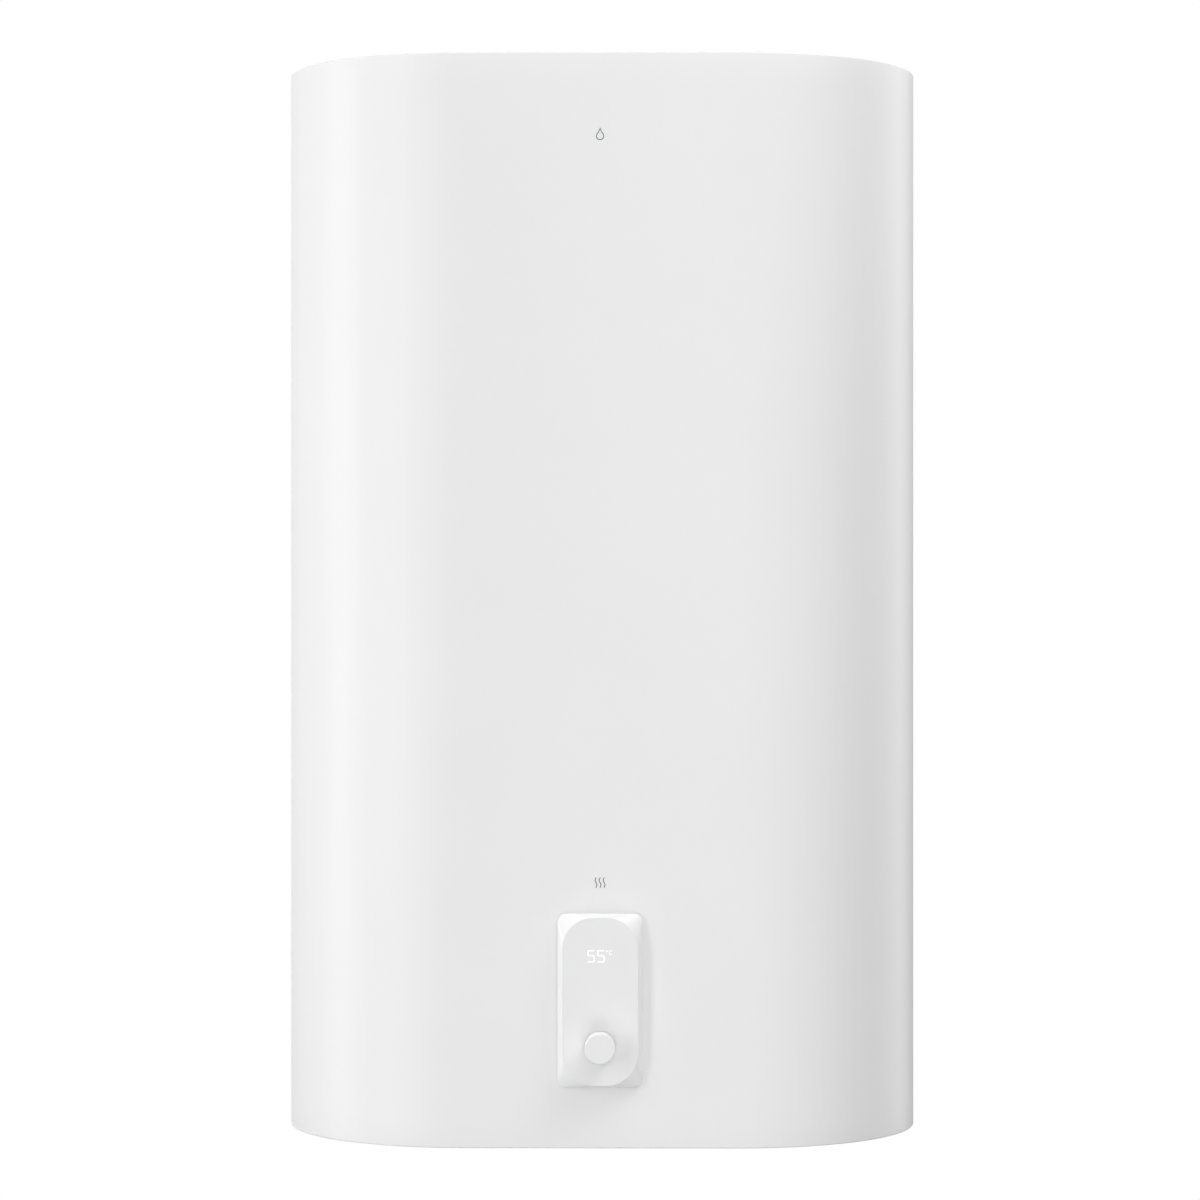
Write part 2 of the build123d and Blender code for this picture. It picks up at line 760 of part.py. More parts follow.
# ---- Cable gland, with its nut inside the bottom cover ----
gland_y = middle_y + gland_to_middle
with BuildPart() as cable_gland:
    with BuildSketch(Plane.XY.offset(bottom_z)):
        with Locations((0, gland_y)):
            RegularPolygon(gland_rim_radius, 6, major_radius=False)
    extrude(amount=-gland_rim_height)
    with BuildSketch(Plane.XY.offset(bottom_z - gland_rim_height)):
        with Locations((0, gland_y)):
            Circle(gland_radius)
    extrude(amount=gland_rim_height - gland_nose_length)
    fillet(cable_gland.edges().group_by(Axis.Z)[0], gland_rim_height / 2)
    with BuildSketch(Plane.XY.offset(bottom_z)):
        with Locations((0, gland_y)):
            Circle(gland_radius)
    extrude(amount=gland_thread_length)
    with BuildSketch(Plane.XY.offset(bottom_z - gland_nose_length)):
        with Locations((0, gland_y)):
            Circle(gland_bore_radius)
    extrude(amount=gland_nose_length + gland_thread_length, mode=Mode.SUBTRACT)
write(cable_gland, "cable_gland")

with BuildPart() as gland_nut:
    with BuildSketch(Plane.XY.offset(cover_floor_z)):
        with Locations((0, gland_y)):
            RegularPolygon(gland_rim_radius, 6, major_radius=False)
            Circle(gland_radius + assembly_gap, mode=Mode.SUBTRACT)
    extrude(amount=gland_nut_height)
write(gland_nut, "gland_nut")

# ---- Terminal block, thermal cut-out and reset button ----
with BuildPart() as terminal_block:
    with BuildSketch(Plane.XY.offset(cover_floor_z)):
        with Locations((0, terminal_block_y)):
            Rectangle(terminal_block_size[0], terminal_block_size[1])
    extrude(amount=terminal_block_size[2])
    with BuildSketch(Plane.XY.offset(cover_floor_z + terminal_block_size[2])):
        with Locations((0, terminal_block_y)):
            with GridLocations(terminal_pitch, terminal_row_spacing, 3, 2):
                Circle(terminal_screw_radius)
    extrude(amount=-terminal_screw_depth, mode=Mode.SUBTRACT)
write(terminal_block, "terminal_block")

shoulder_space = reset_shoulder_height + reset_travel + reset_end_gap
with BuildPart() as thermal_cutout:
    with BuildSketch(Plane.XY.offset(cover_floor_z)):
        with Locations((0, cutout_y)):
            Rectangle(cutout_size[0], cutout_size[1])
    extrude(amount=cutout_size[2])
    with BuildSketch(Plane.XY.offset(cover_floor_z)):
        with Locations((0, cutout_y)):
            Circle(reset_stem_radius + running_fit)
    extrude(amount=cutout_floor, mode=Mode.SUBTRACT)
    with BuildSketch(Plane.XY.offset(cover_floor_z + cutout_floor)):
        with Locations((0, cutout_y)):
            Circle(reset_shoulder_radius + running_fit)
    extrude(amount=shoulder_space, mode=Mode.SUBTRACT)
write(thermal_cutout, "thermal_cutout")

with BuildPart() as reset_button:
    with BuildSketch(Plane.XY.offset(bottom_z - reset_proud)):
        with Locations((0, cutout_y)):
            Circle(reset_stem_radius)
    extrude(amount=cover_floor_z + cutout_floor - bottom_z + reset_proud + reset_shoulder_height)
    fillet(reset_button.edges().group_by(Axis.Z)[0], reset_proud / 2)
    with BuildSketch(Plane.XY.offset(cover_floor_z + cutout_floor)):
        with Locations((0, cutout_y)):
            Circle(reset_shoulder_radius)
    extrude(amount=reset_shoulder_height)
write(reset_button, "reset_button")

# ---- Power board, relays and heat sink ----
with BuildPart() as power_board:
    with BuildSketch(Plane.XY.offset(power_board_bottom)):
        with Locations((0, power_board_y)):
            Rectangle(board_size[0], board_size[1])
    extrude(amount=board_thickness)
write(power_board, "power_board")

with BuildPart() as relays:
    with BuildSketch(Plane.XY.offset(power_board_top)):
        with Locations((relay_to_middle, power_board_y)):
            with GridLocations(relay_pitch, relay_pitch, 2, 1):
                Rectangle(relay_size[0], relay_size[1])
    extrude(amount=relay_size[2])
write(relays, "relays")

fin_pitch = (heat_sink_size[0] - heat_sink_fin) / (heat_sink_fins - 1)
with BuildPart() as heat_sink:
    with BuildSketch(Plane.XY.offset(power_board_top)):
        with Locations((heat_sink_to_middle, power_board_y)):
            Rectangle(heat_sink_size[0], heat_sink_size[1])
    extrude(amount=heat_sink_base)
    with BuildSketch(Plane.XY.offset(power_board_top + heat_sink_base)):
        with Locations((heat_sink_to_middle, power_board_y)):
            with GridLocations(fin_pitch, 1, heat_sink_fins, 1):
                Rectangle(heat_sink_fin, heat_sink_size[1])
    extrude(amount=heat_sink_size[2] - heat_sink_base)
write(heat_sink, "heat_sink")

# ---- Leads inside the service compartment ----
terminal_tip = element_tip - terminal_length
lead_runs = []
for sign in sides.values():
    for offset, row in ((-1, 0), (1, 1)):
        x = sign * (tank_x + offset * element_leg_offset)
        landing_x = sign * (board_size[0] / 2 - lead_landing)
        landing_y = power_board_y + board_size[1] / 2 - lead_landing - row * lead_row_spacing
        run_z = terminal_tip - 2 * lead_bend + row * lead_radius * 3
        lead_runs.append([
            (x, middle_y, terminal_tip),
            (x, middle_y, run_z),
            (landing_x, landing_y, run_z),
            (landing_x, landing_y, power_board_top),
        ])


def lead(points, radius, bend):
    """A round wire from the first point to the last, square to its ends."""
    with BuildPart() as wire:
        with BuildLine() as route:
            FilletPolyline(*points, radius=bend)
        with BuildSketch(Plane(origin=points[0], z_dir=route.line % 0)):
            Circle(radius)
        sweep()
    return wire.part


element_wires = [lead(points, lead_radius, lead_bend) for points in lead_runs]
with BuildPart() as element_leads:
    add(element_wires)
write(element_leads, "element_leads")

supply_top = cover_floor_z + cutout_size[2] + 2 * lead_bend
supply_y = terminal_block_y - terminal_row_spacing / 2
supply_wires = [
    lead(
        [
            (x, supply_y, cover_floor_z + terminal_block_size[2] - terminal_screw_depth),
            (x, supply_y, supply_top),
            (x, power_board_y + board_size[1] / 2 - lead_landing, supply_top),
            (x, power_board_y + board_size[1] / 2 - lead_landing, power_board_top),
        ],
        lead_radius,
        lead_bend,
    )
    for x in (-terminal_pitch, terminal_pitch)
]
with BuildPart() as supply_leads:
    add(supply_wires)
write(supply_leads, "supply_leads")

cable_top_z = knob_z + encoder_size[1]
cable_y = skirt_back_y + panel_cable_bend
panel_cable_route = [
    (0, display_board_back_y, cable_top_z),
    (0, cable_y, cable_top_z),
    (0, cable_y, power_board_top),
]
panel_wire = lead(panel_cable_route, panel_cable_radius, panel_cable_bend)
with BuildPart() as panel_cable:
    add(panel_wire)
write(panel_cable, "panel_cable")

# ---- Control panel housing: an outer shell with a skirt that snaps into the casing window ----
with BuildPart() as panel_housing:
    with BuildSketch(facing_front(front_y - panel_seat)):
        with Locations((0, panel_z)):
            RectangleRounded(panel_width, panel_height, panel_corner)
    extrude(amount=panel_base)
    with BuildSketch(facing_front(front_y - panel_seat - panel_base)):
        with Locations((0, panel_z)):
            RectangleRounded(panel_width, panel_height, panel_corner)
    with BuildSketch(facing_front(panel_face_y)):
        with Locations((0, panel_z)):
            RectangleRounded(face_width, face_height, panel_face_corner)
    loft(ruled=True)
    with BuildSketch(facing_front(front_y - panel_seat)):
        with Locations((0, panel_z)):
            RectangleRounded(
                panel_width - 2 * panel_wall,
                panel_height - 2 * panel_wall,
                panel_corner - panel_wall,
            )
    with BuildSketch(facing_front(panel_face_y + panel_front_wall)):
        with Locations((0, panel_z)):
            RectangleRounded(
                face_width - 2 * panel_wall,
                face_height - 2 * panel_wall,
                panel_face_corner - panel_wall,
            )
    loft(ruled=True, mode=Mode.SUBTRACT)
    with BuildSketch(facing_front(skirt_back_y)):
        with Locations((0, panel_z)):
            RectangleRounded(skirt_width, skirt_height, window_corner - skirt_play)
            RectangleRounded(
                skirt_width - 2 * skirt_wall,
                skirt_height - 2 * skirt_wall,
                window_corner - skirt_play - skirt_wall,
                mode=Mode.SUBTRACT,
            )
    extrude(amount=skirt_back_y - panel_face_y - panel_front_wall)
    snap_back_y = front_y + sheet + panel_gasket_thickness + panel_frame_thickness + snap_height
    with BuildSketch(facing_front(snap_back_y + assembly_gap)):
        with Locations((0, panel_z)):
            with GridLocations(skirt_width, snap_spacing, 2, 2):
                Rectangle(2 * snap_proud, snap_width)
    extrude(amount=snap_height)
    boss_x = skirt_width / 2 - skirt_wall - panel_boss_inset_x
    boss_z = skirt_height / 2 - skirt_wall - panel_boss_inset_z
    with BuildSketch(facing_front(display_board_front_y)):
        with Locations((0, panel_z)):
            with GridLocations(2 * boss_x, 2 * boss_z, 2, 2):
                Circle(panel_boss_radius)
    extrude(amount=display_board_front_y - panel_face_y - panel_front_wall)
    with BuildSketch(facing_front(display_board_front_y)):
        with Locations((0, panel_z)):
            with GridLocations(2 * boss_x, 2 * boss_z, 2, 2):
                Circle(panel_screw_radius + assembly_gap)
    extrude(amount=panel_screw_length - display_board_thickness, mode=Mode.SUBTRACT)
    with BuildSketch(facing_front(panel_face_y + panel_front_wall)):
        with Locations((0, knob_z)):
            Circle(encoder_bushing_radius + 2 * assembly_gap)
    extrude(amount=panel_front_wall, mode=Mode.SUBTRACT)
write(panel_housing, "panel_housing")

# ---- Gasket and frame that clamp the casing sheet from inside ----
seal_outer_width = window_width + 2 * panel_gasket_width
seal_outer_height = window_height + 2 * panel_gasket_width
for name, front, thickness in (
    ("panel_gasket", front_y + sheet, panel_gasket_thickness),
    ("panel_frame", front_y + sheet + panel_gasket_thickness, panel_frame_thickness),
):
    with BuildPart() as seal:
        with BuildSketch(facing_front(front)):
            with Locations((0, panel_z)):
                RectangleRounded(
                    seal_outer_width, seal_outer_height, window_corner + panel_gasket_width
                )
                RectangleRounded(
                    skirt_width + 2 * assembly_gap,
                    skirt_height + 2 * assembly_gap,
                    window_corner - skirt_play + assembly_gap,
                    mode=Mode.SUBTRACT,
                )
        extrude(amount=-thickness)
    write(seal, name)

# ---- Display board, its screws and the lit two-digit display ----
board_width = skirt_width - 2 * skirt_wall - 2 * display_board_play
board_height = skirt_height - 2 * skirt_wall - 2 * display_board_play
with BuildPart() as display_board:
    with BuildSketch(facing_front(display_board_front_y)):
        with Locations((0, panel_z)):
            RectangleRounded(board_width, board_height, panel_boss_radius)
            with GridLocations(2 * boss_x, 2 * boss_z, 2, 2):
                Circle(panel_screw_radius + stud_hole_play, mode=Mode.SUBTRACT)
    extrude(amount=-display_board_thickness)
write(display_board, "display_board")

with BuildPart() as panel_screws:
    with BuildSketch(facing_front(display_board_back_y)):
        with Locations((0, panel_z)):
            with GridLocations(2 * boss_x, 2 * boss_z, 2, 2):
                Circle(panel_screw_head_radius)
    extrude(amount=-panel_screw_head_height)
    with BuildSketch(facing_front(display_board_back_y)):
        with Locations((0, panel_z)):
            with GridLocations(2 * boss_x, 2 * boss_z, 2, 2):
                Circle(panel_screw_radius)
    extrude(amount=panel_screw_length)
write(panel_screws, "panel_screws")

display_depth = display_board_front_y - panel_face_y - panel_front_wall - display_gap
with BuildPart() as display_module:
    with BuildSketch(facing_front(display_board_front_y)):
        with Locations((0, display_z)):
            Rectangle(display_size[0], display_size[1])
    extrude(amount=display_depth)
write(display_module, "display_module")

# ---- Encoder: a body with a threaded bushing, a shaft that turns in it and a push switch ----
encoder_front_y = display_board_front_y - encoder_body_depth
switch_floor_y = display_board_front_y - encoder_floor
plunger_back_y = switch_floor_y - press_end_gap - press_travel
shaft_back_y = plunger_back_y - plunger_height
knob_back_y = panel_face_y - knob_gap
knob_front_y = knob_back_y - knob_height
shaft_front_y = knob_front_y + knob_front_wall + press_end_gap

with BuildPart() as encoder_body:
    with BuildSketch(facing_front(display_board_front_y)):
        with Locations((0, knob_z)):
            Rectangle(encoder_size[0], encoder_size[1])
    extrude(amount=encoder_body_depth)
    with BuildSketch(facing_front(encoder_front_y)):
        with Locations((0, knob_z)):
            Circle(encoder_bushing_radius)
    extrude(amount=encoder_front_y - panel_face_y)
    with BuildSketch(facing_front(switch_floor_y)):
        with Locations((0, knob_z)):
            Circle(shaft_radius + running_fit)
    extrude(amount=switch_floor_y - panel_face_y, mode=Mode.SUBTRACT)
write(encoder_body, "encoder_body")

with BuildPart() as switch_plunger:
    with BuildSketch(facing_front(plunger_back_y)):
        with Locations((0, knob_z)):
            Circle(shaft_radius)
    extrude(amount=plunger_height - assembly_gap)
write(switch_plunger, "switch_plunger")

with BuildPart() as encoder_shaft:
    with BuildSketch(facing_front(shaft_back_y)):
        with Locations((0, knob_z)):
            Circle(shaft_radius)
    extrude(amount=shaft_back_y - shaft_front_y)
    with BuildSketch(facing_front(shaft_front_y)):
        with Locations((0, knob_z - shaft_radius)):
            Rectangle(2 * shaft_radius, 2 * shaft_flat_depth)
    extrude(amount=-shaft_flat_length, mode=Mode.SUBTRACT)
write(encoder_shaft, "encoder_shaft")

with BuildPart() as knob_clip:
    with BuildSketch(facing_front(shaft_front_y + clip_length)):
        with Locations((0, knob_z - shaft_radius + shaft_flat_depth - assembly_gap - clip_thickness / 2)):
            Rectangle(clip_width, clip_thickness)
    extrude(amount=clip_length)
write(knob_clip, "knob_clip")

with BuildPart() as control_knob:
    with BuildSketch(facing_front(knob_back_y)):
        with Locations((0, knob_z)):
            Circle(knob_radius)
    extrude(amount=knob_height)
    fillet(control_knob.faces().sort_by(Axis.Y)[0].edges(), knob_edge)
    with BuildSketch(facing_front(knob_back_y)):
        with Locations((0, knob_z)):
            Circle(knob_radius - knob_wall)
            Circle(knob_hub_radius, mode=Mode.SUBTRACT)
    extrude(amount=knob_height - knob_front_wall, mode=Mode.SUBTRACT)
    with BuildSketch(facing_front(knob_back_y)):
        with Locations((0, knob_z)):
            Circle(shaft_radius + assembly_gap / 2)
    extrude(amount=knob_height - knob_front_wall, mode=Mode.SUBTRACT)
write(control_knob, "control_knob")
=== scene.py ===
import bpy
import bmesh
import math
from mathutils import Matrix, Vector


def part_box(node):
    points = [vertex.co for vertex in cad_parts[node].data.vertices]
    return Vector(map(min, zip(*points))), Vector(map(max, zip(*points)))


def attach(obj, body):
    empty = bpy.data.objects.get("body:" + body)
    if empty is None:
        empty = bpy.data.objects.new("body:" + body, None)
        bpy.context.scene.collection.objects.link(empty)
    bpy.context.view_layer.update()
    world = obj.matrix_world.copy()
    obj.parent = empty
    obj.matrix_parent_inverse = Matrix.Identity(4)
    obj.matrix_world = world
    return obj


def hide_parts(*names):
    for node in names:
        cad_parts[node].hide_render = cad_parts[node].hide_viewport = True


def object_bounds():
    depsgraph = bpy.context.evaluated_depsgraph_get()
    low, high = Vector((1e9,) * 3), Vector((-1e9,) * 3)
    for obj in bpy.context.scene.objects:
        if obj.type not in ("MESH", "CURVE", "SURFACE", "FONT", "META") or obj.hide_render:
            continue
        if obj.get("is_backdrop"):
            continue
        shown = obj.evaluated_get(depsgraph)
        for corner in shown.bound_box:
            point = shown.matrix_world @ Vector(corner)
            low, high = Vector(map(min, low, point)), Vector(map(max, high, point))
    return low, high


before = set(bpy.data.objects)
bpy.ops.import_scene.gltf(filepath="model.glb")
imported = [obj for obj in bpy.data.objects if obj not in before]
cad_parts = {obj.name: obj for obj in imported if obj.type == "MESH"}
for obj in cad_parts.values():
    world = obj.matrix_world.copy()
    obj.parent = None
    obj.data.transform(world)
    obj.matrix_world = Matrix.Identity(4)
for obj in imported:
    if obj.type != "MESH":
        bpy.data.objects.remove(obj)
cad_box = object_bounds()

# A slim wall-hung water heater. Everything is in metres, in the CAD frame:
# +X is to the right from the front, +Y points at the wall, +Z is up.
MM = 0.001

case_low, case_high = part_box("casing_shell")
panel_low, panel_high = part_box("panel_housing")
module_low, module_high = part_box("display_module")
cover_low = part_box("bottom_cover")[0]
front_y = case_low.y
back_y = case_high.y
middle_y = (front_y + back_y) / 2
face_y = panel_low.y
end_radius = (back_y - front_y) / 2


# ---- Camera ----
CAMERA_LENS = 109.2
CAMERA_SENSOR = 36.0
CAMERA_REACH = 60.0
CAMERA_DISTANCE = 2.87
CAMERA_SIDE = 0.033
CAMERA_YAW = 0.66
camera_data = bpy.data.cameras.new("camera")
camera_data.lens = CAMERA_LENS
camera_data.sensor_width = CAMERA_SENSOR
camera_data.clip_end = CAMERA_REACH
camera = bpy.data.objects.new("camera", camera_data)
camera.location = (CAMERA_SIDE, front_y - CAMERA_DISTANCE, 0.0)
camera.rotation_euler = (math.radians(90.0), 0.0, math.radians(CAMERA_YAW))
bpy.context.scene.collection.objects.link(camera)
bpy.context.scene.camera = camera
bpy.context.scene.view_settings.view_transform = "Standard"


# ---- Materials ----
def node(tree, kind, **values):
    """Add a node and set its properties, or its inputs by name."""
    made = tree.nodes.new(kind)
    for name, value in values.items():
        if hasattr(made, name):
            setattr(made, name, value)
        else:
            made.inputs[name.replace("_", " ")].default_value = value
    return made


def grey(value):
    return (value, value, value, 1.0)


def shade(colour, factor):
    """A colour made lighter or darker by a factor."""
    return tuple(min(1.0, c * factor) for c in colour[:3]) + (1.0,)


def noise_of(tree, place, scale, stretch=(1.0, 1.0, 1.0), detail=3.0, roughness=0.5):
    """A noise texture's value over the object, squeezed along its axes by stretch."""
    mapping = node(tree, "ShaderNodeMapping", Scale=stretch)
    tree.links.new(place, mapping.inputs["Vector"])
    noise = node(tree, "ShaderNodeTexNoise", Scale=scale, Detail=detail, Roughness=roughness)
    tree.links.new(mapping.outputs["Vector"], noise.inputs["Vector"])
    return noise.outputs["Fac"]


def cells_of(tree, place, scale, feature="F1", output="Distance"):
    """A Voronoi texture's value over the object."""
    cells = node(tree, "ShaderNodeTexVoronoi", feature=feature, Scale=scale)
    tree.links.new(place, cells.inputs["Vector"])
    return cells.outputs[output]


def remap(tree, value, low, high, start=0.3, end=0.7):
    """Map a texture's value, from start to end, onto low to high."""
    ramp = node(tree, "ShaderNodeMapRange")
    ramp.inputs["From Min"].default_value = start
    ramp.inputs["From Max"].default_value = end
    ramp.inputs["To Min"].default_value = low
    ramp.inputs["To Max"].default_value = high
    tree.links.new(value, ramp.inputs["Value"])
    return ramp.outputs["Result"]


def blend_colours(tree, factor, first, second):
    """Mix two colours, or two sockets, by a texture's value."""
    mix = node(tree, "ShaderNodeMix", data_type="RGBA")
    tree.links.new(factor, mix.inputs["Factor"])
    for socket, colour in ((mix.inputs[6], first), (mix.inputs[7], second)):
        if isinstance(colour, tuple):
            socket.default_value = colour
        else:
            tree.links.new(colour, socket)
    return mix.outputs[2]


def finish_material(name, colour, roughness, metallic=0.0, mottle=0.03, mottle_scale=30.0,
                    rough_play=0.05, grain_scale=700.0, stretch=(1.0, 1.0, 1.0),
                    bump_depth=0.00002, bump_scale=900.0, bump_strength=0.3, coat=0.0,
                    coat_roughness=0.1, specular=0.5, scratch=0.0, cells=0.0,
                    cell_scale=200.0, subsurface=0.0):
    """A finish with mottled colour, uneven roughness and fine bump; scratches and cells if asked."""
    material = bpy.data.materials.get(name) or bpy.data.materials.new(name)
    material.use_nodes = True
    tree = material.node_tree
    tree.nodes.clear()
    place = node(tree, "ShaderNodeTexCoord").outputs["Object"]
    shader = node(tree, "ShaderNodeBsdfPrincipled")
    shader.inputs["Metallic"].default_value = metallic
    shader.inputs["Coat Weight"].default_value = coat
    shader.inputs["Coat Roughness"].default_value = coat_roughness
    shader.inputs["Specular IOR Level"].default_value = specular
    if subsurface:
        shader.inputs["Subsurface Weight"].default_value = subsurface
        shader.inputs["Subsurface Scale"].default_value = 2.0 * MM
        shader.inputs["Subsurface Radius"].default_value = (1.0, 0.9, 0.8)
    output = node(tree, "ShaderNodeOutputMaterial")
    tree.links.new(shader.outputs["BSDF"], output.inputs["Surface"])

    broad = noise_of(tree, place, mottle_scale, stretch)
    tone = blend_colours(
        tree, remap(tree, broad, 0.0, 1.0), shade(colour, 1 - mottle), shade(colour, 1 + mottle)
    )
    fine = noise_of(tree, place, grain_scale, stretch)
    sheen = remap(tree, fine, roughness - rough_play, roughness + rough_play)
    if scratch:
        lines = noise_of(tree, place, grain_scale / 4, (6.0, 0.5, 0.5), 6.0)
        marks = remap(tree, lines, 0.0, scratch, 0.62, 0.7)
        tone = blend_colours(tree, marks, tone, shade(colour, 1.25))
    if cells:
        plates = cells_of(tree, place, cell_scale, output="Color")
        level = node(tree, "ShaderNodeRGBToBW")
        tree.links.new(plates, level.inputs["Color"])
        tone = blend_colours(
            tree, remap(tree, level.outputs["Val"], 0.0, cells, 0.2, 0.8), tone, shade(colour, 0.7)
        )
    tree.links.new(tone, shader.inputs["Base Color"])
    tree.links.new(sheen, shader.inputs["Roughness"])

    height = noise_of(tree, place, bump_scale, stretch, 2.0)
    bump = node(tree, "ShaderNodeBump", Strength=bump_strength, Distance=bump_depth)
    tree.links.new(height, bump.inputs["Height"])
    tree.links.new(bump.outputs["Normal"], shader.inputs["Normal"])
    return material


def nodes_of(material):
    """A material's tree, its shader, its bump node and the object-space coordinates."""
    tree = material.node_tree
    by_kind = {n.bl_idname: n for n in tree.nodes}
    place = by_kind["ShaderNodeTexCoord"].outputs["Object"]
    return tree, by_kind["ShaderNodeBsdfPrincipled"], by_kind["ShaderNodeBump"], place


WHITE = (0.80, 0.80, 0.80)
DIGIT_GLOW = 0.27

# Powder-coated sheet: a faint orange peel under a smooth, semi-gloss film.
finish_material("casing_white", WHITE, roughness=0.46, mottle=0.006, mottle_scale=9.0,
                rough_play=0.03, grain_scale=420.0, bump_depth=0.000012, bump_scale=380.0,
                bump_strength=0.25, coat=0.06, coat_roughness=0.35)
# Moulded covers with a fine eroded grain.
finish_material("cover_white", (0.78, 0.78, 0.77), roughness=0.55, mottle=0.012,
                mottle_scale=14.0, rough_play=0.06, grain_scale=1500.0, bump_depth=0.00004,
                bump_scale=1700.0, bump_strength=0.35)
finish_material("panel_white", WHITE, roughness=0.38, mottle=0.006, mottle_scale=20.0,
                rough_play=0.03, grain_scale=1300.0, bump_depth=0.000008, bump_scale=1500.0,
                bump_strength=0.25, subsurface=0.08, coat=0.1, coat_roughness=0.2)
finish_material("knob_white", (0.79, 0.79, 0.79), roughness=0.45, mottle=0.008, mottle_scale=60.0,
                rough_play=0.04, grain_scale=2200.0, bump_depth=0.00001, bump_scale=2500.0,
                bump_strength=0.3, subsurface=0.06)
finish_material("screw_steel", (0.62, 0.62, 0.64), roughness=0.28, metallic=1.0, mottle=0.06,
                mottle_scale=260.0, rough_play=0.1, grain_scale=1600.0, bump_depth=0.00003,
                bump_scale=2200.0, scratch=0.5)
finish_material("zinc_steel", (0.66, 0.68, 0.71), roughness=0.36, metallic=1.0, mottle=0.06,
                mottle_scale=35.0, rough_play=0.12, grain_scale=500.0, bump_depth=0.00003,
                bump_scale=900.0, scratch=0.25, cells=0.45, cell_scale=150.0)
finish_material("tank_steel", (0.60, 0.60, 0.61), roughness=0.30, metallic=1.0, mottle=0.05,
                mottle_scale=8.0, rough_play=0.1, grain_scale=60.0, stretch=(0.3, 0.3, 22.0),
                bump_depth=0.00003, bump_scale=80.0)
finish_material("element_steel", (0.50, 0.46, 0.40), roughness=0.34, metallic=1.0, mottle=0.2,
                mottle_scale=45.0, rough_play=0.1, grain_scale=900.0, bump_depth=0.00003,
                bump_scale=1200.0)
finish_material("pipe_steel", (0.66, 0.66, 0.67), roughness=0.24, metallic=1.0, mottle=0.04,
                mottle_scale=120.0, rough_play=0.08, grain_scale=260.0, stretch=(0.3, 0.3, 12.0),
                bump_depth=0.00002, bump_scale=300.0)
finish_material("anode_grey", (0.55, 0.56, 0.55), roughness=0.62, metallic=0.8, mottle=0.12,
                mottle_scale=60.0, rough_play=0.12, grain_scale=500.0, bump_depth=0.0002,
                bump_scale=420.0, bump_strength=0.5)
finish_material("seal_rubber", (0.028, 0.028, 0.029), roughness=0.68, mottle=0.25,
                mottle_scale=180.0, rough_play=0.1, bump_depth=0.00006, bump_scale=1400.0)
finish_material("foam", (0.86, 0.78, 0.53), roughness=0.88, mottle=0.09, mottle_scale=22.0,
                rough_play=0.05, bump_depth=0.0008, bump_scale=420.0, bump_strength=0.6,
                cells=0.3, cell_scale=650.0)
finish_material("collar_blue", (0.035, 0.16, 0.52), roughness=0.42, mottle=0.06,
                mottle_scale=120.0, rough_play=0.08, bump_depth=0.00003, bump_scale=2200.0,
                subsurface=0.05)
finish_material("collar_red", (0.52, 0.035, 0.028), roughness=0.42, mottle=0.06,
                mottle_scale=120.0, rough_play=0.08, bump_depth=0.00003, bump_scale=2200.0,
                subsurface=0.05)
finish_material("black_plastic", (0.022, 0.022, 0.023), roughness=0.5, mottle=0.2,
                mottle_scale=150.0, rough_play=0.1, bump_depth=0.00005, bump_scale=1900.0)
finish_material("terminal_grey", (0.62, 0.61, 0.57), roughness=0.5, mottle=0.04,
                mottle_scale=90.0, rough_play=0.08, bump_depth=0.00004, bump_scale=1600.0)
finish_material("button_red", (0.55, 0.04, 0.025), roughness=0.36, mottle=0.06,
                mottle_scale=300.0, rough_play=0.08, bump_depth=0.00002, bump_scale=2600.0)
finish_material("board_green", (0.012, 0.14, 0.05), roughness=0.4, mottle=0.12, mottle_scale=90.0,
                rough_play=0.08, bump_depth=0.00004, bump_scale=1500.0, coat=0.4)
finish_material("relay_blue", (0.03, 0.13, 0.36), roughness=0.36, mottle=0.05, mottle_scale=150.0,
                rough_play=0.08, bump_depth=0.00003, bump_scale=1500.0)
finish_material("heat_sink_aluminium", (0.76, 0.77, 0.79), roughness=0.38, metallic=1.0,
                mottle=0.05, mottle_scale=60.0, rough_play=0.12, grain_scale=900.0,
                stretch=(1.0, 0.04, 1.0), bump_depth=0.00003, bump_scale=900.0, scratch=0.3)
finish_material("lead_sleeve", (0.045, 0.045, 0.047), roughness=0.55, mottle=0.2,
                mottle_scale=400.0, rough_play=0.1, bump_depth=0.00008, bump_scale=1500.0)
finish_material("display_black", (0.012, 0.012, 0.013), roughness=0.2, mottle=0.2,
                mottle_scale=60.0, rough_play=0.05, bump_depth=0.00001, bump_scale=1500.0,
                coat=0.5)
finish_material("encoder_metal", (0.58, 0.58, 0.6), roughness=0.33, metallic=1.0, mottle=0.06,
                mottle_scale=200.0, rough_play=0.1, grain_scale=1500.0, bump_depth=0.00003,
                bump_scale=1800.0, scratch=0.3)
finish_material("print_grey", (0.115, 0.115, 0.12), roughness=0.55, mottle=0.1,
                mottle_scale=900.0, rough_play=0.08, bump_depth=0.000005, bump_scale=3000.0)
lit_white = finish_material("lit_white", (0.9, 0.9, 0.9), roughness=0.5, mottle=0.02,
                            mottle_scale=900.0, rough_play=0.05, bump_depth=0.000005,
                            bump_scale=3000.0)


TRACK_CELLS = 160.0
PAD_CELLS = 260.0
TRACK_GREEN = (0.03, 0.3, 0.1, 1.0)
PAD_TIN = (0.7, 0.7, 0.68, 1.0)
HEAT_STRAW = (0.62, 0.42, 0.2, 1.0)
HEAT_BLUE = (0.25, 0.27, 0.42, 1.0)
HEAT_SCALE = 18.0
BRAID_SCALE = 320.0
GLOW_SCALE = 500.0
GLOW_PLAY = 0.05


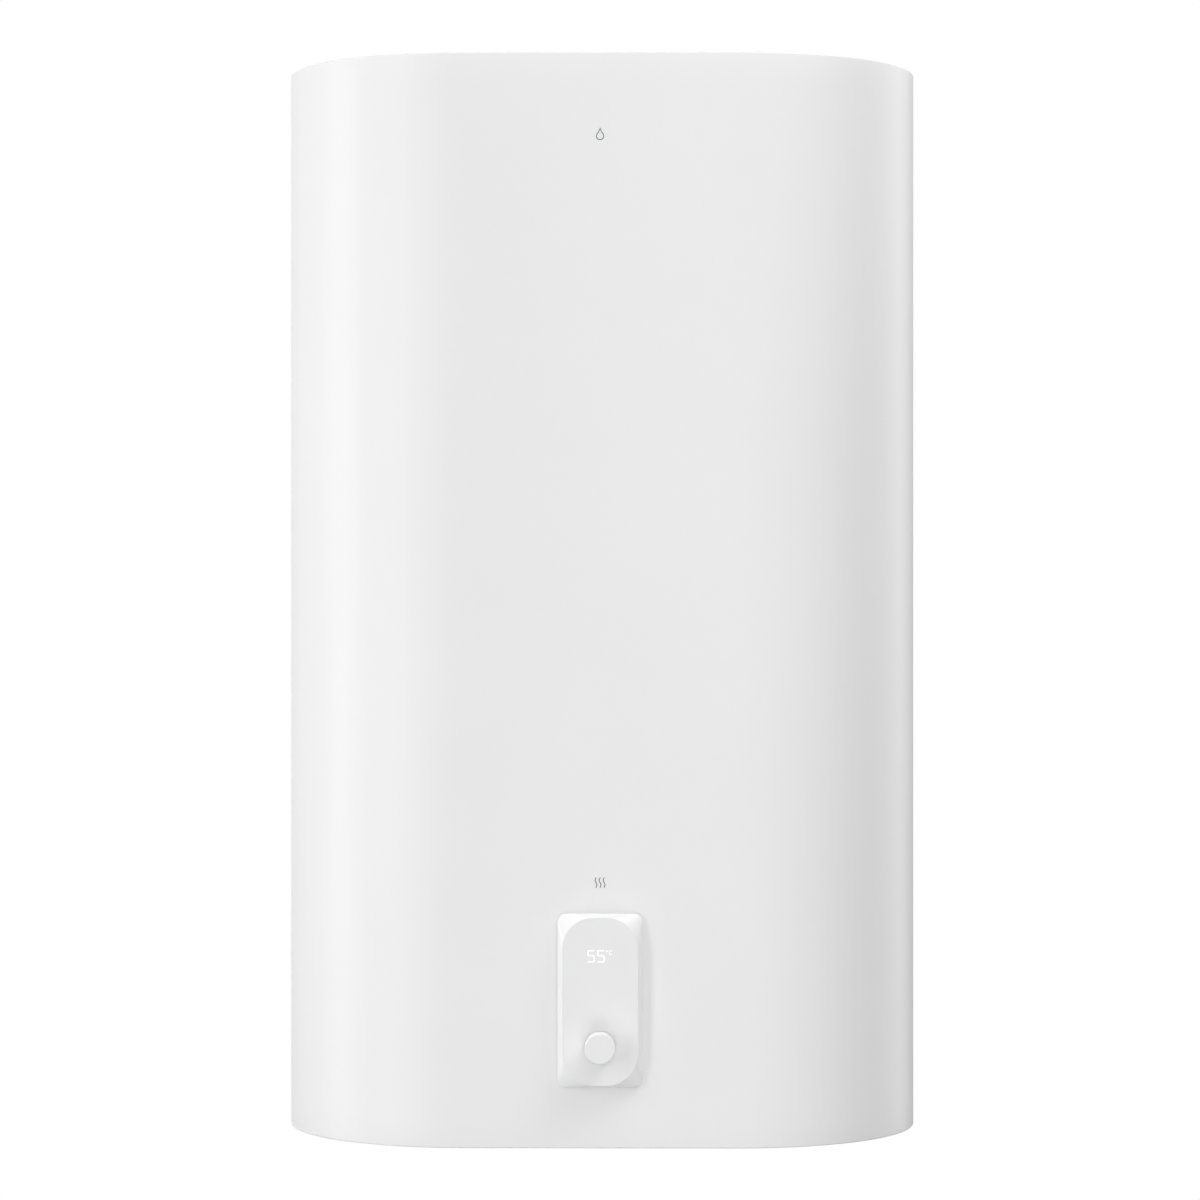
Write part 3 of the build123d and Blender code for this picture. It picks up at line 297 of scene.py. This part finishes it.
def paint_board(material):
    """Copper tracks under the solder mask, and tinned pads, on the circuit boards."""
    tree, shader, bump, place = nodes_of(material)
    tracks = cells_of(tree, place, TRACK_CELLS, "DISTANCE_TO_EDGE")
    under_mask = remap(tree, tracks, 1.0, 0.0, 0.06, 0.09)
    mask = shader.inputs["Base Color"].links[0].from_socket
    tracked = blend_colours(tree, under_mask, mask, TRACK_GREEN)
    pads = remap(tree, cells_of(tree, place, PAD_CELLS), 1.0, 0.0, 0.14, 0.2)
    tree.links.new(blend_colours(tree, pads, tracked, PAD_TIN), shader.inputs["Base Color"])
    tree.links.new(remap(tree, tracks, 0.0, 1.0, 0.05, 0.1), bump.inputs["Height"])


def paint_element(material):
    """Straw and blue heat tints along the heating elements."""
    tree, shader, _, place = nodes_of(material)
    heat = noise_of(tree, place, HEAT_SCALE, detail=1.0)
    base = shader.inputs["Base Color"].links[0].from_socket
    straw = blend_colours(tree, remap(tree, heat, 0.0, 0.6), base, HEAT_STRAW)
    late = remap(tree, heat, 0.0, 0.5, 0.6, 0.75)
    tree.links.new(blend_colours(tree, late, straw, HEAT_BLUE), shader.inputs["Base Color"])


def paint_braid(material):
    """A woven sleeve on the leads."""
    tree, _, bump, place = nodes_of(material)
    wave = node(tree, "ShaderNodeTexWave", Scale=BRAID_SCALE, Distortion=0.0)
    wave.bands_direction = "DIAGONAL"
    tree.links.new(place, wave.inputs["Vector"])
    tree.links.new(wave.outputs["Fac"], bump.inputs["Height"])


def paint_lit(material, strength):
    """Light from behind the panel's face, a little uneven."""
    tree, shader, _, place = nodes_of(material)
    shader.inputs["Emission Color"].default_value = (1.0, 1.0, 1.0, 1.0)
    uneven = noise_of(tree, place, GLOW_SCALE)
    glow = remap(tree, uneven, strength * (1 - GLOW_PLAY), strength * (1 + GLOW_PLAY))
    tree.links.new(glow, shader.inputs["Emission Strength"])


paint_board(bpy.data.materials["board_green"])
paint_element(bpy.data.materials["element_steel"])
paint_braid(bpy.data.materials["lead_sleeve"])
paint_lit(lit_white, DIGIT_GLOW)


# ---- Mesh helpers ----
SHARP = math.radians(32.0)


def new_object(name, bm):
    """Turn a bmesh into a linked object."""
    mesh = bpy.data.meshes.new(name)
    bm.to_mesh(mesh)
    bm.free()
    made = bpy.data.objects.new(name, mesh)
    bpy.context.scene.collection.objects.link(made)
    return made


def shade_by_angle(bm):
    """Smooth shading, except across sharp edges."""
    for face in bm.faces:
        face.smooth = True
    for edge in bm.edges:
        if len(edge.link_faces) == 2:
            edge.smooth = edge.calc_face_angle(0.0) < SHARP


def add_piece(name, bm, slot, material=None, replaces=()):
    """Turn a bmesh into a named piece of the heater's fixed body."""
    bmesh.ops.recalc_face_normals(bm, faces=bm.faces[:])
    shade_by_angle(bm)
    piece = new_object(name, bm)
    piece.data.materials.append(material or bpy.data.materials[slot])
    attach(piece, "root")
    if replaces:
        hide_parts(*replaces)
    return piece


def skin_rings(bm, rings, close_rows=False, cap_ends=False):
    """Join rings of points, each a closed loop with the same number of points, with quads."""
    loops = [[bm.verts.new(p) for p in ring] for ring in rings]
    count = len(loops[0])
    pairs = list(zip(loops, loops[1:]))
    if close_rows:
        pairs.append((loops[-1], loops[0]))
    for first, second in pairs:
        for i in range(count):
            j = (i + 1) % count
            bm.faces.new((first[i], first[j], second[j], second[i]))
    if cap_ends:
        bm.faces.new(loops[0])
        bm.faces.new(loops[-1])


def turned_rings(x, y, section, count):
    """Rings about an upright axis through x and y, one for each (radius, height) of a section."""
    turns = [math.tau * i / count for i in range(count)]
    return [
        [(x + radius * math.cos(turn), y + radius * math.sin(turn), height) for turn in turns]
        for radius, height in section
    ]


def arc_points(centre, radius, start, end, steps):
    """Points on an arc, in degrees, both ends included."""
    return [
        (centre[0] + radius * math.cos(math.radians(start + (end - start) * k / steps)),
         centre[1] + radius * math.sin(math.radians(start + (end - start) * k / steps)))
        for k in range(steps + 1)
    ]


# ---- Casing: one wrap of sheet with a rolled lip at each end ----
SHEET = 0.8 * MM
BEND = 1.2 * MM
LIP = 12.0 * MM
ARC_STEPS = 72
FLAT_STEPS = 24
WALL_STEPS = 40
OUTER_BEND_STEPS = 6
INNER_BEND_STEPS = 4


def stadium(inset):
    """The casing's outline, moved inwards: two flats and two half-round ends."""
    radius = end_radius - inset
    half = case_high.x - end_radius
    right = arc_points((half, middle_y), radius, -90.0, 90.0, ARC_STEPS)
    left = arc_points((-half, middle_y), radius, 90.0, 270.0, ARC_STEPS)
    flat = [half - 2 * half * k / FLAT_STEPS for k in range(1, FLAT_STEPS)]
    back = [(x, middle_y + radius) for x in flat]
    front = [(-x, middle_y - radius) for x in flat]
    return right + back + left + front


def casing_section():
    """(inset, height) round the sheet's section, up the outside and down the inside."""
    top, bottom = case_high.z, case_low.z
    bend = arc_points((BEND, top - BEND), BEND, 180.0, 90.0, OUTER_BEND_STEPS)
    rise = top - bottom - 2 * BEND
    wall = [bottom + BEND + rise * k / WALL_STEPS for k in range(1, WALL_STEPS)]
    outside = [(0.0, z) for z in wall] + bend + [(LIP, top)]
    inner = BEND - SHEET
    turned = arc_points((BEND, top - BEND), inner, 90.0, 180.0, INNER_BEND_STEPS)
    inside = [(LIP, top - SHEET)] + turned + [(SHEET, z) for z in reversed(wall[1:-1])]
    low_bend = [(r, bottom + top - z) for r, z in reversed(turned)]
    low_lip = [(LIP, bottom + SHEET), (LIP, bottom)]
    low_outer = [(r, bottom + top - z) for r, z in reversed(bend)]
    return outside + inside + low_bend + low_lip + low_outer


def rounded_rectangle(width, height, radius, steps=8):
    """A rounded rectangle's points about its middle."""
    points = []
    for x, z, start in ((1, 1, 0), (-1, 1, 90), (-1, -1, 180), (1, -1, 270)):
        corner = (x * (width / 2 - radius), z * (height / 2 - radius))
        points += arc_points(corner, radius, start, start + 90, steps)
    return points


def prism(name, outline, low, high, place):
    """A cutting solid: an outline swept between two levels; place puts each point in space."""
    bm = bmesh.new()
    rings = [[place(u, v, level) for u, v in outline] for level in (low, high)]
    skin_rings(bm, rings, cap_ends=True)
    bmesh.ops.recalc_face_normals(bm, faces=bm.faces[:])
    return new_object(name, bm)


def across_front(u, v, level):
    """Puts an outline in X and Z, with its level along Y."""
    return (u, level, v)


def across_floor(u, v, level):
    """Puts an outline in X and Y, with its level along Z."""
    return (u, v, level)


def cut(piece, cutters):
    """Cut solids out of a piece, keep the result as its mesh and delete the solids."""
    for cutter in cutters:
        modifier = piece.modifiers.new("cut", "BOOLEAN")
        modifier.operation = "DIFFERENCE"
        modifier.solver = "EXACT"
        modifier.object = cutter
    graph = bpy.context.evaluated_depsgraph_get()
    piece.data = bpy.data.meshes.new_from_object(piece.evaluated_get(graph))
    piece.modifiers.clear()
    for cutter in cutters:
        bpy.data.objects.remove(cutter)
    bm = bmesh.new()
    bm.from_mesh(piece.data)
    shade_by_angle(bm)
    bm.to_mesh(piece.data)
    bm.free()


WINDOW_WIDTH = 52.0 * MM
WINDOW_HEIGHT = 118.0 * MM
WINDOW_CORNER = 8.0 * MM
SLEEVE_RADIUS = 8.0 * MM
STUD_HOLE = 4.5 * MM
SCREW_HEAD = 3.8 * MM
SCREW_HEAD_PLAY = 0.3 * MM
HOLE_STEPS = 23
HOLE_END = 345
WALL_REACH = 10.0 * MM
LIP_REACH = 5.0 * MM
panel_z = (panel_low.z + panel_high.z) / 2
sleeve_low, sleeve_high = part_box("stud_sleeves")
stud_x = (sleeve_high.x - sleeve_low.x) / 2 - SLEEVE_RADIUS
stud_z = (sleeve_high.z - sleeve_low.z) / 2 - SLEEVE_RADIUS
stud_places = [(x, z) for x in (-stud_x, stud_x) for z in (-stud_z, stud_z)]
screw_low, screw_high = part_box("cover_screws")
screw_x = screw_high.x - SCREW_HEAD
screw_ys = (screw_low.y + SCREW_HEAD, screw_high.y - SCREW_HEAD)
screw_places = [(x, y) for x in (-screw_x, screw_x) for y in screw_ys]

bm = bmesh.new()
skin_rings(
    bm, [[(x, y, z) for x, y in stadium(inset)] for inset, z in casing_section()], close_rows=True
)
casing = add_piece("casing_wrap", bm, "casing_white", replaces=("casing_shell",))
window = [(x, panel_z + z) for x, z in rounded_rectangle(WINDOW_WIDTH, WINDOW_HEIGHT, WINDOW_CORNER)]
cutters = [prism("window", window, front_y - WALL_REACH, front_y + WALL_REACH, across_front)]
for place in stud_places:
    hole = arc_points(place, STUD_HOLE, 0, HOLE_END, HOLE_STEPS)
    cutters.append(prism("stud_hole", hole, back_y - WALL_REACH, back_y + WALL_REACH, across_front))
for place in screw_places:
    hole = arc_points(place, SCREW_HEAD + SCREW_HEAD_PLAY, 0, HOLE_END, HOLE_STEPS)
    cutters.append(
        prism("screw_hole", hole, case_low.z - LIP_REACH, case_low.z + LIP_REACH, across_floor)
    )
cut(casing, cutters)


# ---- Cover screws, their heads let into the bottom lip ----
SCREW_SHANK = 2.0 * MM
SCREW_AROUND = 48
HEAD_CHAMFER = 0.25 * MM
CROSS_ARM = 1.8 * MM
CROSS_HALF = 0.34 * MM
CROSS_DEPTH = 1.2 * MM
head_z = case_low.z + 0.05 * MM
head_section = [
    (SCREW_HEAD - HEAD_CHAMFER, head_z), (SCREW_HEAD, head_z + 0.8 * HEAD_CHAMFER),
    (SCREW_HEAD, head_z + SHEET * 0.8), (SCREW_SHANK, head_z + SHEET * 0.9),
    (SCREW_SHANK, screw_high.z),
]
quarter = [(CROSS_HALF, CROSS_HALF), (CROSS_HALF, CROSS_ARM), (-CROSS_HALF, CROSS_ARM)]
cross = []
for _ in range(4):
    cross += quarter
    quarter = [(-v, u) for u, v in quarter]
bm = bmesh.new()
cutters = []
for x, y in screw_places:
    skin_rings(bm, turned_rings(x, y, head_section, SCREW_AROUND), cap_ends=True)
    cutters.append(prism("cross", [(x + u, y + v) for u, v in cross],
                         head_z - CROSS_DEPTH, head_z + CROSS_DEPTH, across_floor))
screws = add_piece("flush_cover_screws", bm, "screw_steel", replaces=("cover_screws",))
cut(screws, cutters)


# ---- Lock seam down the middle of the back ----
SEAM_WIDTH = 9.0 * MM
SEAM_RISE = 0.9 * MM
SEAM_FOOT = -0.1 * MM
seam_fold = SEAM_RISE * 0.4
seam_section = [(-SEAM_WIDTH / 2, 0.0)]
seam_section += arc_points((-SEAM_WIDTH / 2 + SEAM_RISE, 0.0), SEAM_RISE, 180, 90, 4)[1:]
seam_section += arc_points((SEAM_WIDTH / 2 - seam_fold, SEAM_RISE - seam_fold), seam_fold, 90, 0, 3)
seam_section += [(SEAM_WIDTH / 2, SEAM_FOOT), (-SEAM_WIDTH / 2, SEAM_FOOT)]
seam_ends = (case_low.z + 2 * BEND, case_high.z - 2 * BEND)
bm = bmesh.new()
skin_rings(bm, [[(x, back_y + y, z) for x, y in seam_section] for z in seam_ends], cap_ends=True)
add_piece("back_lock_seam", bm, "casing_white")


# ---- Water nipples with a cut pipe thread ----
PITCH = 1.814 * MM
THREAD_DEPTH = 1.16 * MM
THREAD_CREST = 10.48 * MM
THREAD_LENGTH = 14.0 * MM
THREAD_START = 1.5 * MM
TIP_CHAMFER = 1.2 * MM
BORE = 8.0 * MM
BORE_CHAMFER = 0.6 * MM
NECK_STEP = 0.2 * MM
ROWS_PER_TURN = 12
AROUND = 96


def thread_groove(turn, height):
    """How deep the thread's groove is at a place on the helix, from 0 to 1."""
    phase = (height / PITCH - turn) % 1.0
    return min(1.0, max(0.0, 1.5 - abs(phase * 2 - 1) * 2.5))


def nipple(name, node_name):
    """A hollow nipple in place of a plain one, threaded at its lower end."""
    low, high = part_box(node_name)
    centre = (low + high) / 2
    body = (high.x - low.x) / 2
    shoulder = low.z + THREAD_LENGTH
    rows = [(BORE, low.z + BORE_CHAMFER, 0.0), (BORE, high.z, 0.0), (body, high.z, 0.0),
            (body, shoulder + NECK_STEP, 0.0), (body - NECK_STEP, shoulder, 0.0)]
    steps = int((shoulder - low.z) / PITCH * ROWS_PER_TURN)
    for k in range(steps + 1):
        height = shoulder - (shoulder - low.z) * k / steps
        depth = min(1.0, max(0.0, (shoulder - height) / THREAD_START))
        limit = THREAD_CREST - max(0.0, TIP_CHAMFER - (height - low.z))
        rows.append((limit, height, depth))
    rows.append((BORE + BORE_CHAMFER, low.z, 0.0))
    rings = []
    for radius, height, depth in rows:
        ring = []
        for i in range(AROUND):
            turn = i / AROUND
            cut_to = min(radius, THREAD_CREST - THREAD_DEPTH * thread_groove(turn, height))
            reach = radius + (cut_to - radius) * depth
            angle = turn * math.tau
            ring.append((centre.x + reach * math.cos(angle), centre.y + reach * math.sin(angle), height))
        rings.append(ring)
    bm = bmesh.new()
    skin_rings(bm, rings, close_rows=True)
    add_piece(name, bm, "pipe_steel", replaces=(node_name,))


nipple("cold_threaded_nipple", "cold_inlet_pipe")
nipple("hot_threaded_nipple", "hot_outlet_pipe")


# ---- Chamfered hex nuts on the wall brackets ----
NUT_FLATS = 13.0 * MM
NUT_BORE = 4.1 * MM
NUT_LEAD = NUT_BORE * 0.12
NUT_EDGE = NUT_FLATS / 2 * 0.97
NUT_TURN_DOWN = 0.55
NUT_AROUND = 72


def nut_section(angle, back, front):
    """(radius, level) round the nut's section, in the direction of an angle."""
    corner = NUT_FLATS / 2 / math.cos((angle + math.pi / 6) % (math.pi / 3) - math.pi / 6)
    turned = (corner - NUT_EDGE) * NUT_TURN_DOWN
    return [(NUT_BORE, back + NUT_LEAD), (NUT_BORE + NUT_LEAD, back), (NUT_EDGE, back),
            (corner, back + turned), (corner, front - turned),
            (NUT_EDGE, front), (NUT_BORE + NUT_LEAD, front), (NUT_BORE, front - NUT_LEAD)]


def chamfered_nut(bm, x, z, back, front):
    """Add a hex nut on a Y axis, with its corners turned down at both ends."""
    columns = []
    for i in range(NUT_AROUND):
        angle = math.tau * i / NUT_AROUND
        columns.append([(x + radius * math.cos(angle), level, z + radius * math.sin(angle))
                        for radius, level in nut_section(angle, back, front)])
    skin_rings(bm, list(zip(*columns)), close_rows=True)


nut_low, nut_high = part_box("bracket_nuts")
bm = bmesh.new()
for x, z in stud_places:
    chamfered_nut(bm, x, z, nut_low.y, nut_high.y)
add_piece("chamfered_bracket_nuts", bm, "zinc_steel", replaces=("bracket_nuts",))


# ---- Lit digits and small printed marks ----
CAP_STEPS = 8
TIGHTEST = 0.5


def round_cap(tip, towards, width):
    """The points of a half-round end, between two sides of a stroke."""
    start = math.atan2(towards[1] - tip[1], towards[0] - tip[0])
    turns = [start - math.pi * k / CAP_STEPS for k in range(1, CAP_STEPS)]
    return [(tip[0] + width / 2 * math.cos(turn), tip[1] + width / 2 * math.sin(turn)) for turn in turns]


def stroke_sides(points, width, closed):
    """The left and right sides of a stroke of even width along points."""
    count = len(points)
    left, right = [], []
    for i, (x, z) in enumerate(points):
        ways = []
        if closed or i:
            before = points[(i - 1) % count]
            ways.append(Vector((x - before[0], z - before[1])).normalized())
        if closed or i < count - 1:
            after = points[(i + 1) % count]
            ways.append(Vector((after[0] - x, after[1] - z)).normalized())
        way = sum(ways, Vector((0.0, 0.0))).normalized()
        side = Vector((-way.y, way.x))
        stretch = 1.0 / max(TIGHTEST, side.dot(Vector((-ways[0].y, ways[0].x))))
        reach = width / 2 * stretch
        left.append((x + side.x * reach, z + side.y * reach))
        right.append((x - side.x * reach, z - side.y * reach))
    return left, right


def ribbon(bm, points, width, plane_y, thickness, closed=False):
    """A flat stroke of even width along points in X and Z, with round ends, facing the front."""
    count = len(points)
    left, right = stroke_sides(points, width, closed)
    if closed:
        rims = [left, right]
    else:
        last_cap = round_cap(points[-1], left[-1], width)
        first_cap = round_cap(points[0], right[0], width)
        rims = [left + last_cap + right[::-1] + first_cap]
    levels = (plane_y, plane_y - thickness)
    made = [[[bm.verts.new((x, y, z)) for x, z in rim] for y in levels] for rim in rims]
    for back, front in made:
        size = len(back)
        for i in range(size):
            j = (i + 1) % size
            bm.faces.new((back[i], back[j], front[j], front[i]))
    for level in (0, 1):
        if closed:
            inner, outer = made[0][level], made[1][level]
            for i in range(count):
                j = (i + 1) % count
                bm.faces.new((inner[i], inner[j], outer[j], outer[i]))
        else:
            rim = made[0][level]
            far = 2 * count + CAP_STEPS - 2
            for i in range(count - 1):
                bm.faces.new((rim[i], rim[i + 1], rim[far - 1 - i], rim[far - i]))
            bm.faces.new(rim[count - 1:count + CAP_STEPS])
            bm.faces.new(rim[far:] + rim[:1])


def figure_five(x, z, width, height):
    """The centre line of a rounded figure 5, from the top bar's end to the foot."""
    tight = width * 0.12
    round_end = width * 0.312
    waist = z + height * 0.56
    top = arc_points((x + tight, z + height - tight), tight, 90, 180, 4)
    heel = arc_points((x + tight, waist + tight), tight, 180, 270, 4)
    shoulder = arc_points((x + width - round_end, waist - round_end), round_end, 90, 0, 7)
    toe = arc_points((x + width - round_end, z + round_end), round_end, 0, -90, 7)
    return [(x + width * 0.92, z + height)] + top + heel + shoulder + toe + [(x + width * 0.02, z)]


DIGIT_HEIGHT = 8.9 * MM
DIGIT_WIDTH = 5.0 * MM
DIGIT_LEFTS = (-9.4 * MM, -1.6 * MM)
STROKE = 0.86 * MM
SMALL_STROKE = 0.5 * MM
DEGREE_X = 5.5 * MM
DEGREE_RADIUS = 0.55 * MM
LETTER_X = 8.6 * MM
LETTER_RADIUS = 1.25 * MM
LETTER_TALL = 1.3
PROUD = 0.04 * MM
digits_z = (module_low.z + module_high.z) / 2 - DIGIT_HEIGHT / 2
small_top = digits_z + DIGIT_HEIGHT + STROKE / 2 - SMALL_STROKE / 2
letter_z = small_top - LETTER_RADIUS * LETTER_TALL
bm = bmesh.new()
for left in DIGIT_LEFTS:
    ribbon(bm, figure_five(left, digits_z, DIGIT_WIDTH, DIGIT_HEIGHT), STROKE, face_y, PROUD)
degree = arc_points((DEGREE_X, small_top - DEGREE_RADIUS), DEGREE_RADIUS, 0, 345, 23)
ribbon(bm, degree, SMALL_STROKE * 0.8, face_y, PROUD, closed=True)
letter = [(x, letter_z + (z - letter_z) * LETTER_TALL)
          for x, z in arc_points((LETTER_X, letter_z), LETTER_RADIUS, 50, 310, 24)]
ribbon(bm, letter, SMALL_STROKE, face_y, PROUD)
add_piece("lit_digits", bm, "display_black", material=lit_white)


def droplet(x, z, size):
    """The closed outline of a plain water drop."""
    radius = size * 0.32
    shoulder = (radius * 0.42, z + size * 0.68)
    belly = arc_points((x, z + radius), radius, -220, 40, 26)
    return belly + [(x + shoulder[0], shoulder[1]), (x, z + size), (x - shoulder[0], shoulder[1])]


MARK_STROKE = 0.7 * MM
DROP_SIZE = 9.0 * MM
DROP_BELOW_TOP = 69.5 * MM
WAVE_GAP = 3.2 * MM
WAVE_SWING = 0.7 * MM
WAVE_HEIGHT = 7.5 * MM
WAVE_ABOVE_PANEL = 20.5 * MM
WAVE_STEPS = 12
wave_z = panel_high.z + WAVE_ABOVE_PANEL
bm = bmesh.new()
ribbon(bm, droplet(0.0, case_high.z - DROP_BELOW_TOP, DROP_SIZE), MARK_STROKE, front_y, PROUD, closed=True)
for x in (-WAVE_GAP, 0.0, WAVE_GAP):
    wave = [(x + WAVE_SWING * math.sin(k / WAVE_STEPS * math.tau), wave_z + WAVE_HEIGHT * k / WAVE_STEPS)
            for k in range(WAVE_STEPS + 1)]
    ribbon(bm, wave, MARK_STROKE, front_y, PROUD)
add_piece("printed_marks", bm, "black_plastic", material=bpy.data.materials["print_grey"])


# ---- Plugs in the foam filling holes, on the bottom cover ----
PLUG_X = 175.0 * MM
PLUG_FORWARD = 20.0 * MM
PLUG_RADIUS = 9.0 * MM
PLUG_RISE = 1.6 * MM
PLUG_MIDDLE = 0.6 * MM
PLUG_SEAT = -0.1 * MM
PLUG_AROUND = 48
plug_section = [
    (PLUG_MIDDLE, PLUG_RISE * 0.35), (PLUG_RADIUS * 0.45, PLUG_RISE * 0.35),
    (PLUG_RADIUS * 0.55, PLUG_RISE * 0.9), (PLUG_RADIUS * 0.62, PLUG_RISE),
    (PLUG_RADIUS * 0.85, PLUG_RISE), (PLUG_RADIUS * 0.96, PLUG_RISE * 0.7),
    (PLUG_RADIUS, PLUG_RISE * 0.2), (PLUG_RADIUS, PLUG_SEAT), (PLUG_MIDDLE, PLUG_SEAT),
]
hanging = [(radius, cover_low.z - rise) for radius, rise in plug_section]
for plug_x, name in ((-PLUG_X, "foam_plug_left"), (PLUG_X, "foam_plug_right")):
    bm = bmesh.new()
    rings = turned_rings(plug_x, middle_y - PLUG_FORWARD, hanging, PLUG_AROUND)
    skin_rings(bm, rings, cap_ends=True)
    add_piece(name, bm, "cover_white")


# ---- Materials for the carried-over CAD nodes ----
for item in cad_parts.values():
    for item_slot in item.material_slots:
        item_slot.material = bpy.data.materials[item_slot.material.name.split(".")[0]]


# ---- World and floor ----
AMBIENT = 0.25
FLOOR_GREY = 0.4
FLOOR_DROP = 3.2
FLOOR_RADIUS = 14.0
FLOOR_SIDES = 64


def plain_white_to_camera(tree, lighting, output_kind, white_kind):
    """White where the camera looks straight at it, and a shader of its own for all other rays."""
    path = node(tree, "ShaderNodeLightPath")
    seen = node(tree, white_kind, Color=grey(1.0), Strength=1.0)
    either = node(tree, "ShaderNodeMixShader")
    output = node(tree, output_kind)
    tree.links.new(path.outputs["Is Camera Ray"], either.inputs[0])
    tree.links.new(lighting.outputs[0], either.inputs[1])
    tree.links.new(seen.outputs[0], either.inputs[2])
    tree.links.new(either.outputs[0], output.inputs["Surface"])


world = bpy.data.worlds.new("studio")
bpy.context.scene.world = world
world.use_nodes = True
tree = world.node_tree
tree.nodes.clear()
ambient = node(tree, "ShaderNodeBackground", Color=grey(1.0), Strength=AMBIENT)
plain_white_to_camera(tree, ambient, "ShaderNodeOutputWorld", "ShaderNodeBackground")

floor_ring = turned_rings(0.0, 0.0, [(FLOOR_RADIUS, case_low.z - FLOOR_DROP)], FLOOR_SIDES)[0]
bm = bmesh.new()
bm.faces.new([bm.verts.new(point) for point in floor_ring])
floor = new_object("floor", bm)
pale = bpy.data.materials.new("pale_floor")
pale.use_nodes = True
tree = pale.node_tree
tree.nodes.clear()
matt = node(tree, "ShaderNodeBsdfDiffuse", Color=grey(FLOOR_GREY))
plain_white_to_camera(tree, matt, "ShaderNodeOutputMaterial", "ShaderNodeEmission")
floor.data.materials.append(pale)
floor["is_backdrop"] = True


# ---- Lights ----
def soft_box(name, azimuth, distance, height, size, power):
    """A rectangular light aimed at the object: azimuth 0 is straight in front, 90 to the right."""
    data = bpy.data.lights.new(name, "AREA")
    data.shape = "RECTANGLE"
    data.size, data.size_y = size
    data.energy = power
    lamp = bpy.data.objects.new(name, data)
    angle = math.radians(azimuth)
    lamp.location = (distance * math.sin(angle), middle_y - distance * math.cos(angle), height)
    aim = Vector((0.0, middle_y, 0.0)) - lamp.location
    lamp.rotation_euler = aim.to_track_quat("-Z", "Y").to_euler()
    lamp.visible_camera = False
    bpy.context.scene.collection.objects.link(lamp)


STRIP = (0.6, 3.0)
for name, azimuth, distance, height, size, power in (
    ("right_high", 60.0, 1.8, 2.2, (1.2, 1.2), 38.5),
    ("right_low", 60.0, 1.8, -2.2, (1.2, 1.2), 6.0),
    ("overhead", 0.0, 0.6, 2.2, (1.6, 1.6), 14.0),
    ("low_front", 0.0, 1.8, -1.6, (1.6, 1.0), 12.5),
    ("left_side", -85.0, 2.6, 0.3, STRIP, 34.0),
    ("left_front", -45.0, 2.6, 0.3, STRIP, 23.5),
    ("left_rear", -125.0, 2.6, 0.3, STRIP, 8.5),
    ("left_back", -150.0, 2.6, 0.3, STRIP, 3.8),
    ("right_rear", 125.0, 2.6, 0.3, STRIP, 18.5),
    ("right_near", 20.0, 1.1, 0.0, (0.3, 1.8), 1.7),
    ("middle_near", 5.0, 1.1, 0.0, (0.3, 1.8), 1.5),
):
    soft_box(name, azimuth, distance, height, size, power)


# ---- Finish ----
size = {"cad": [list(corner) for corner in cad_box], "visual": [list(corner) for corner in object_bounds()]}
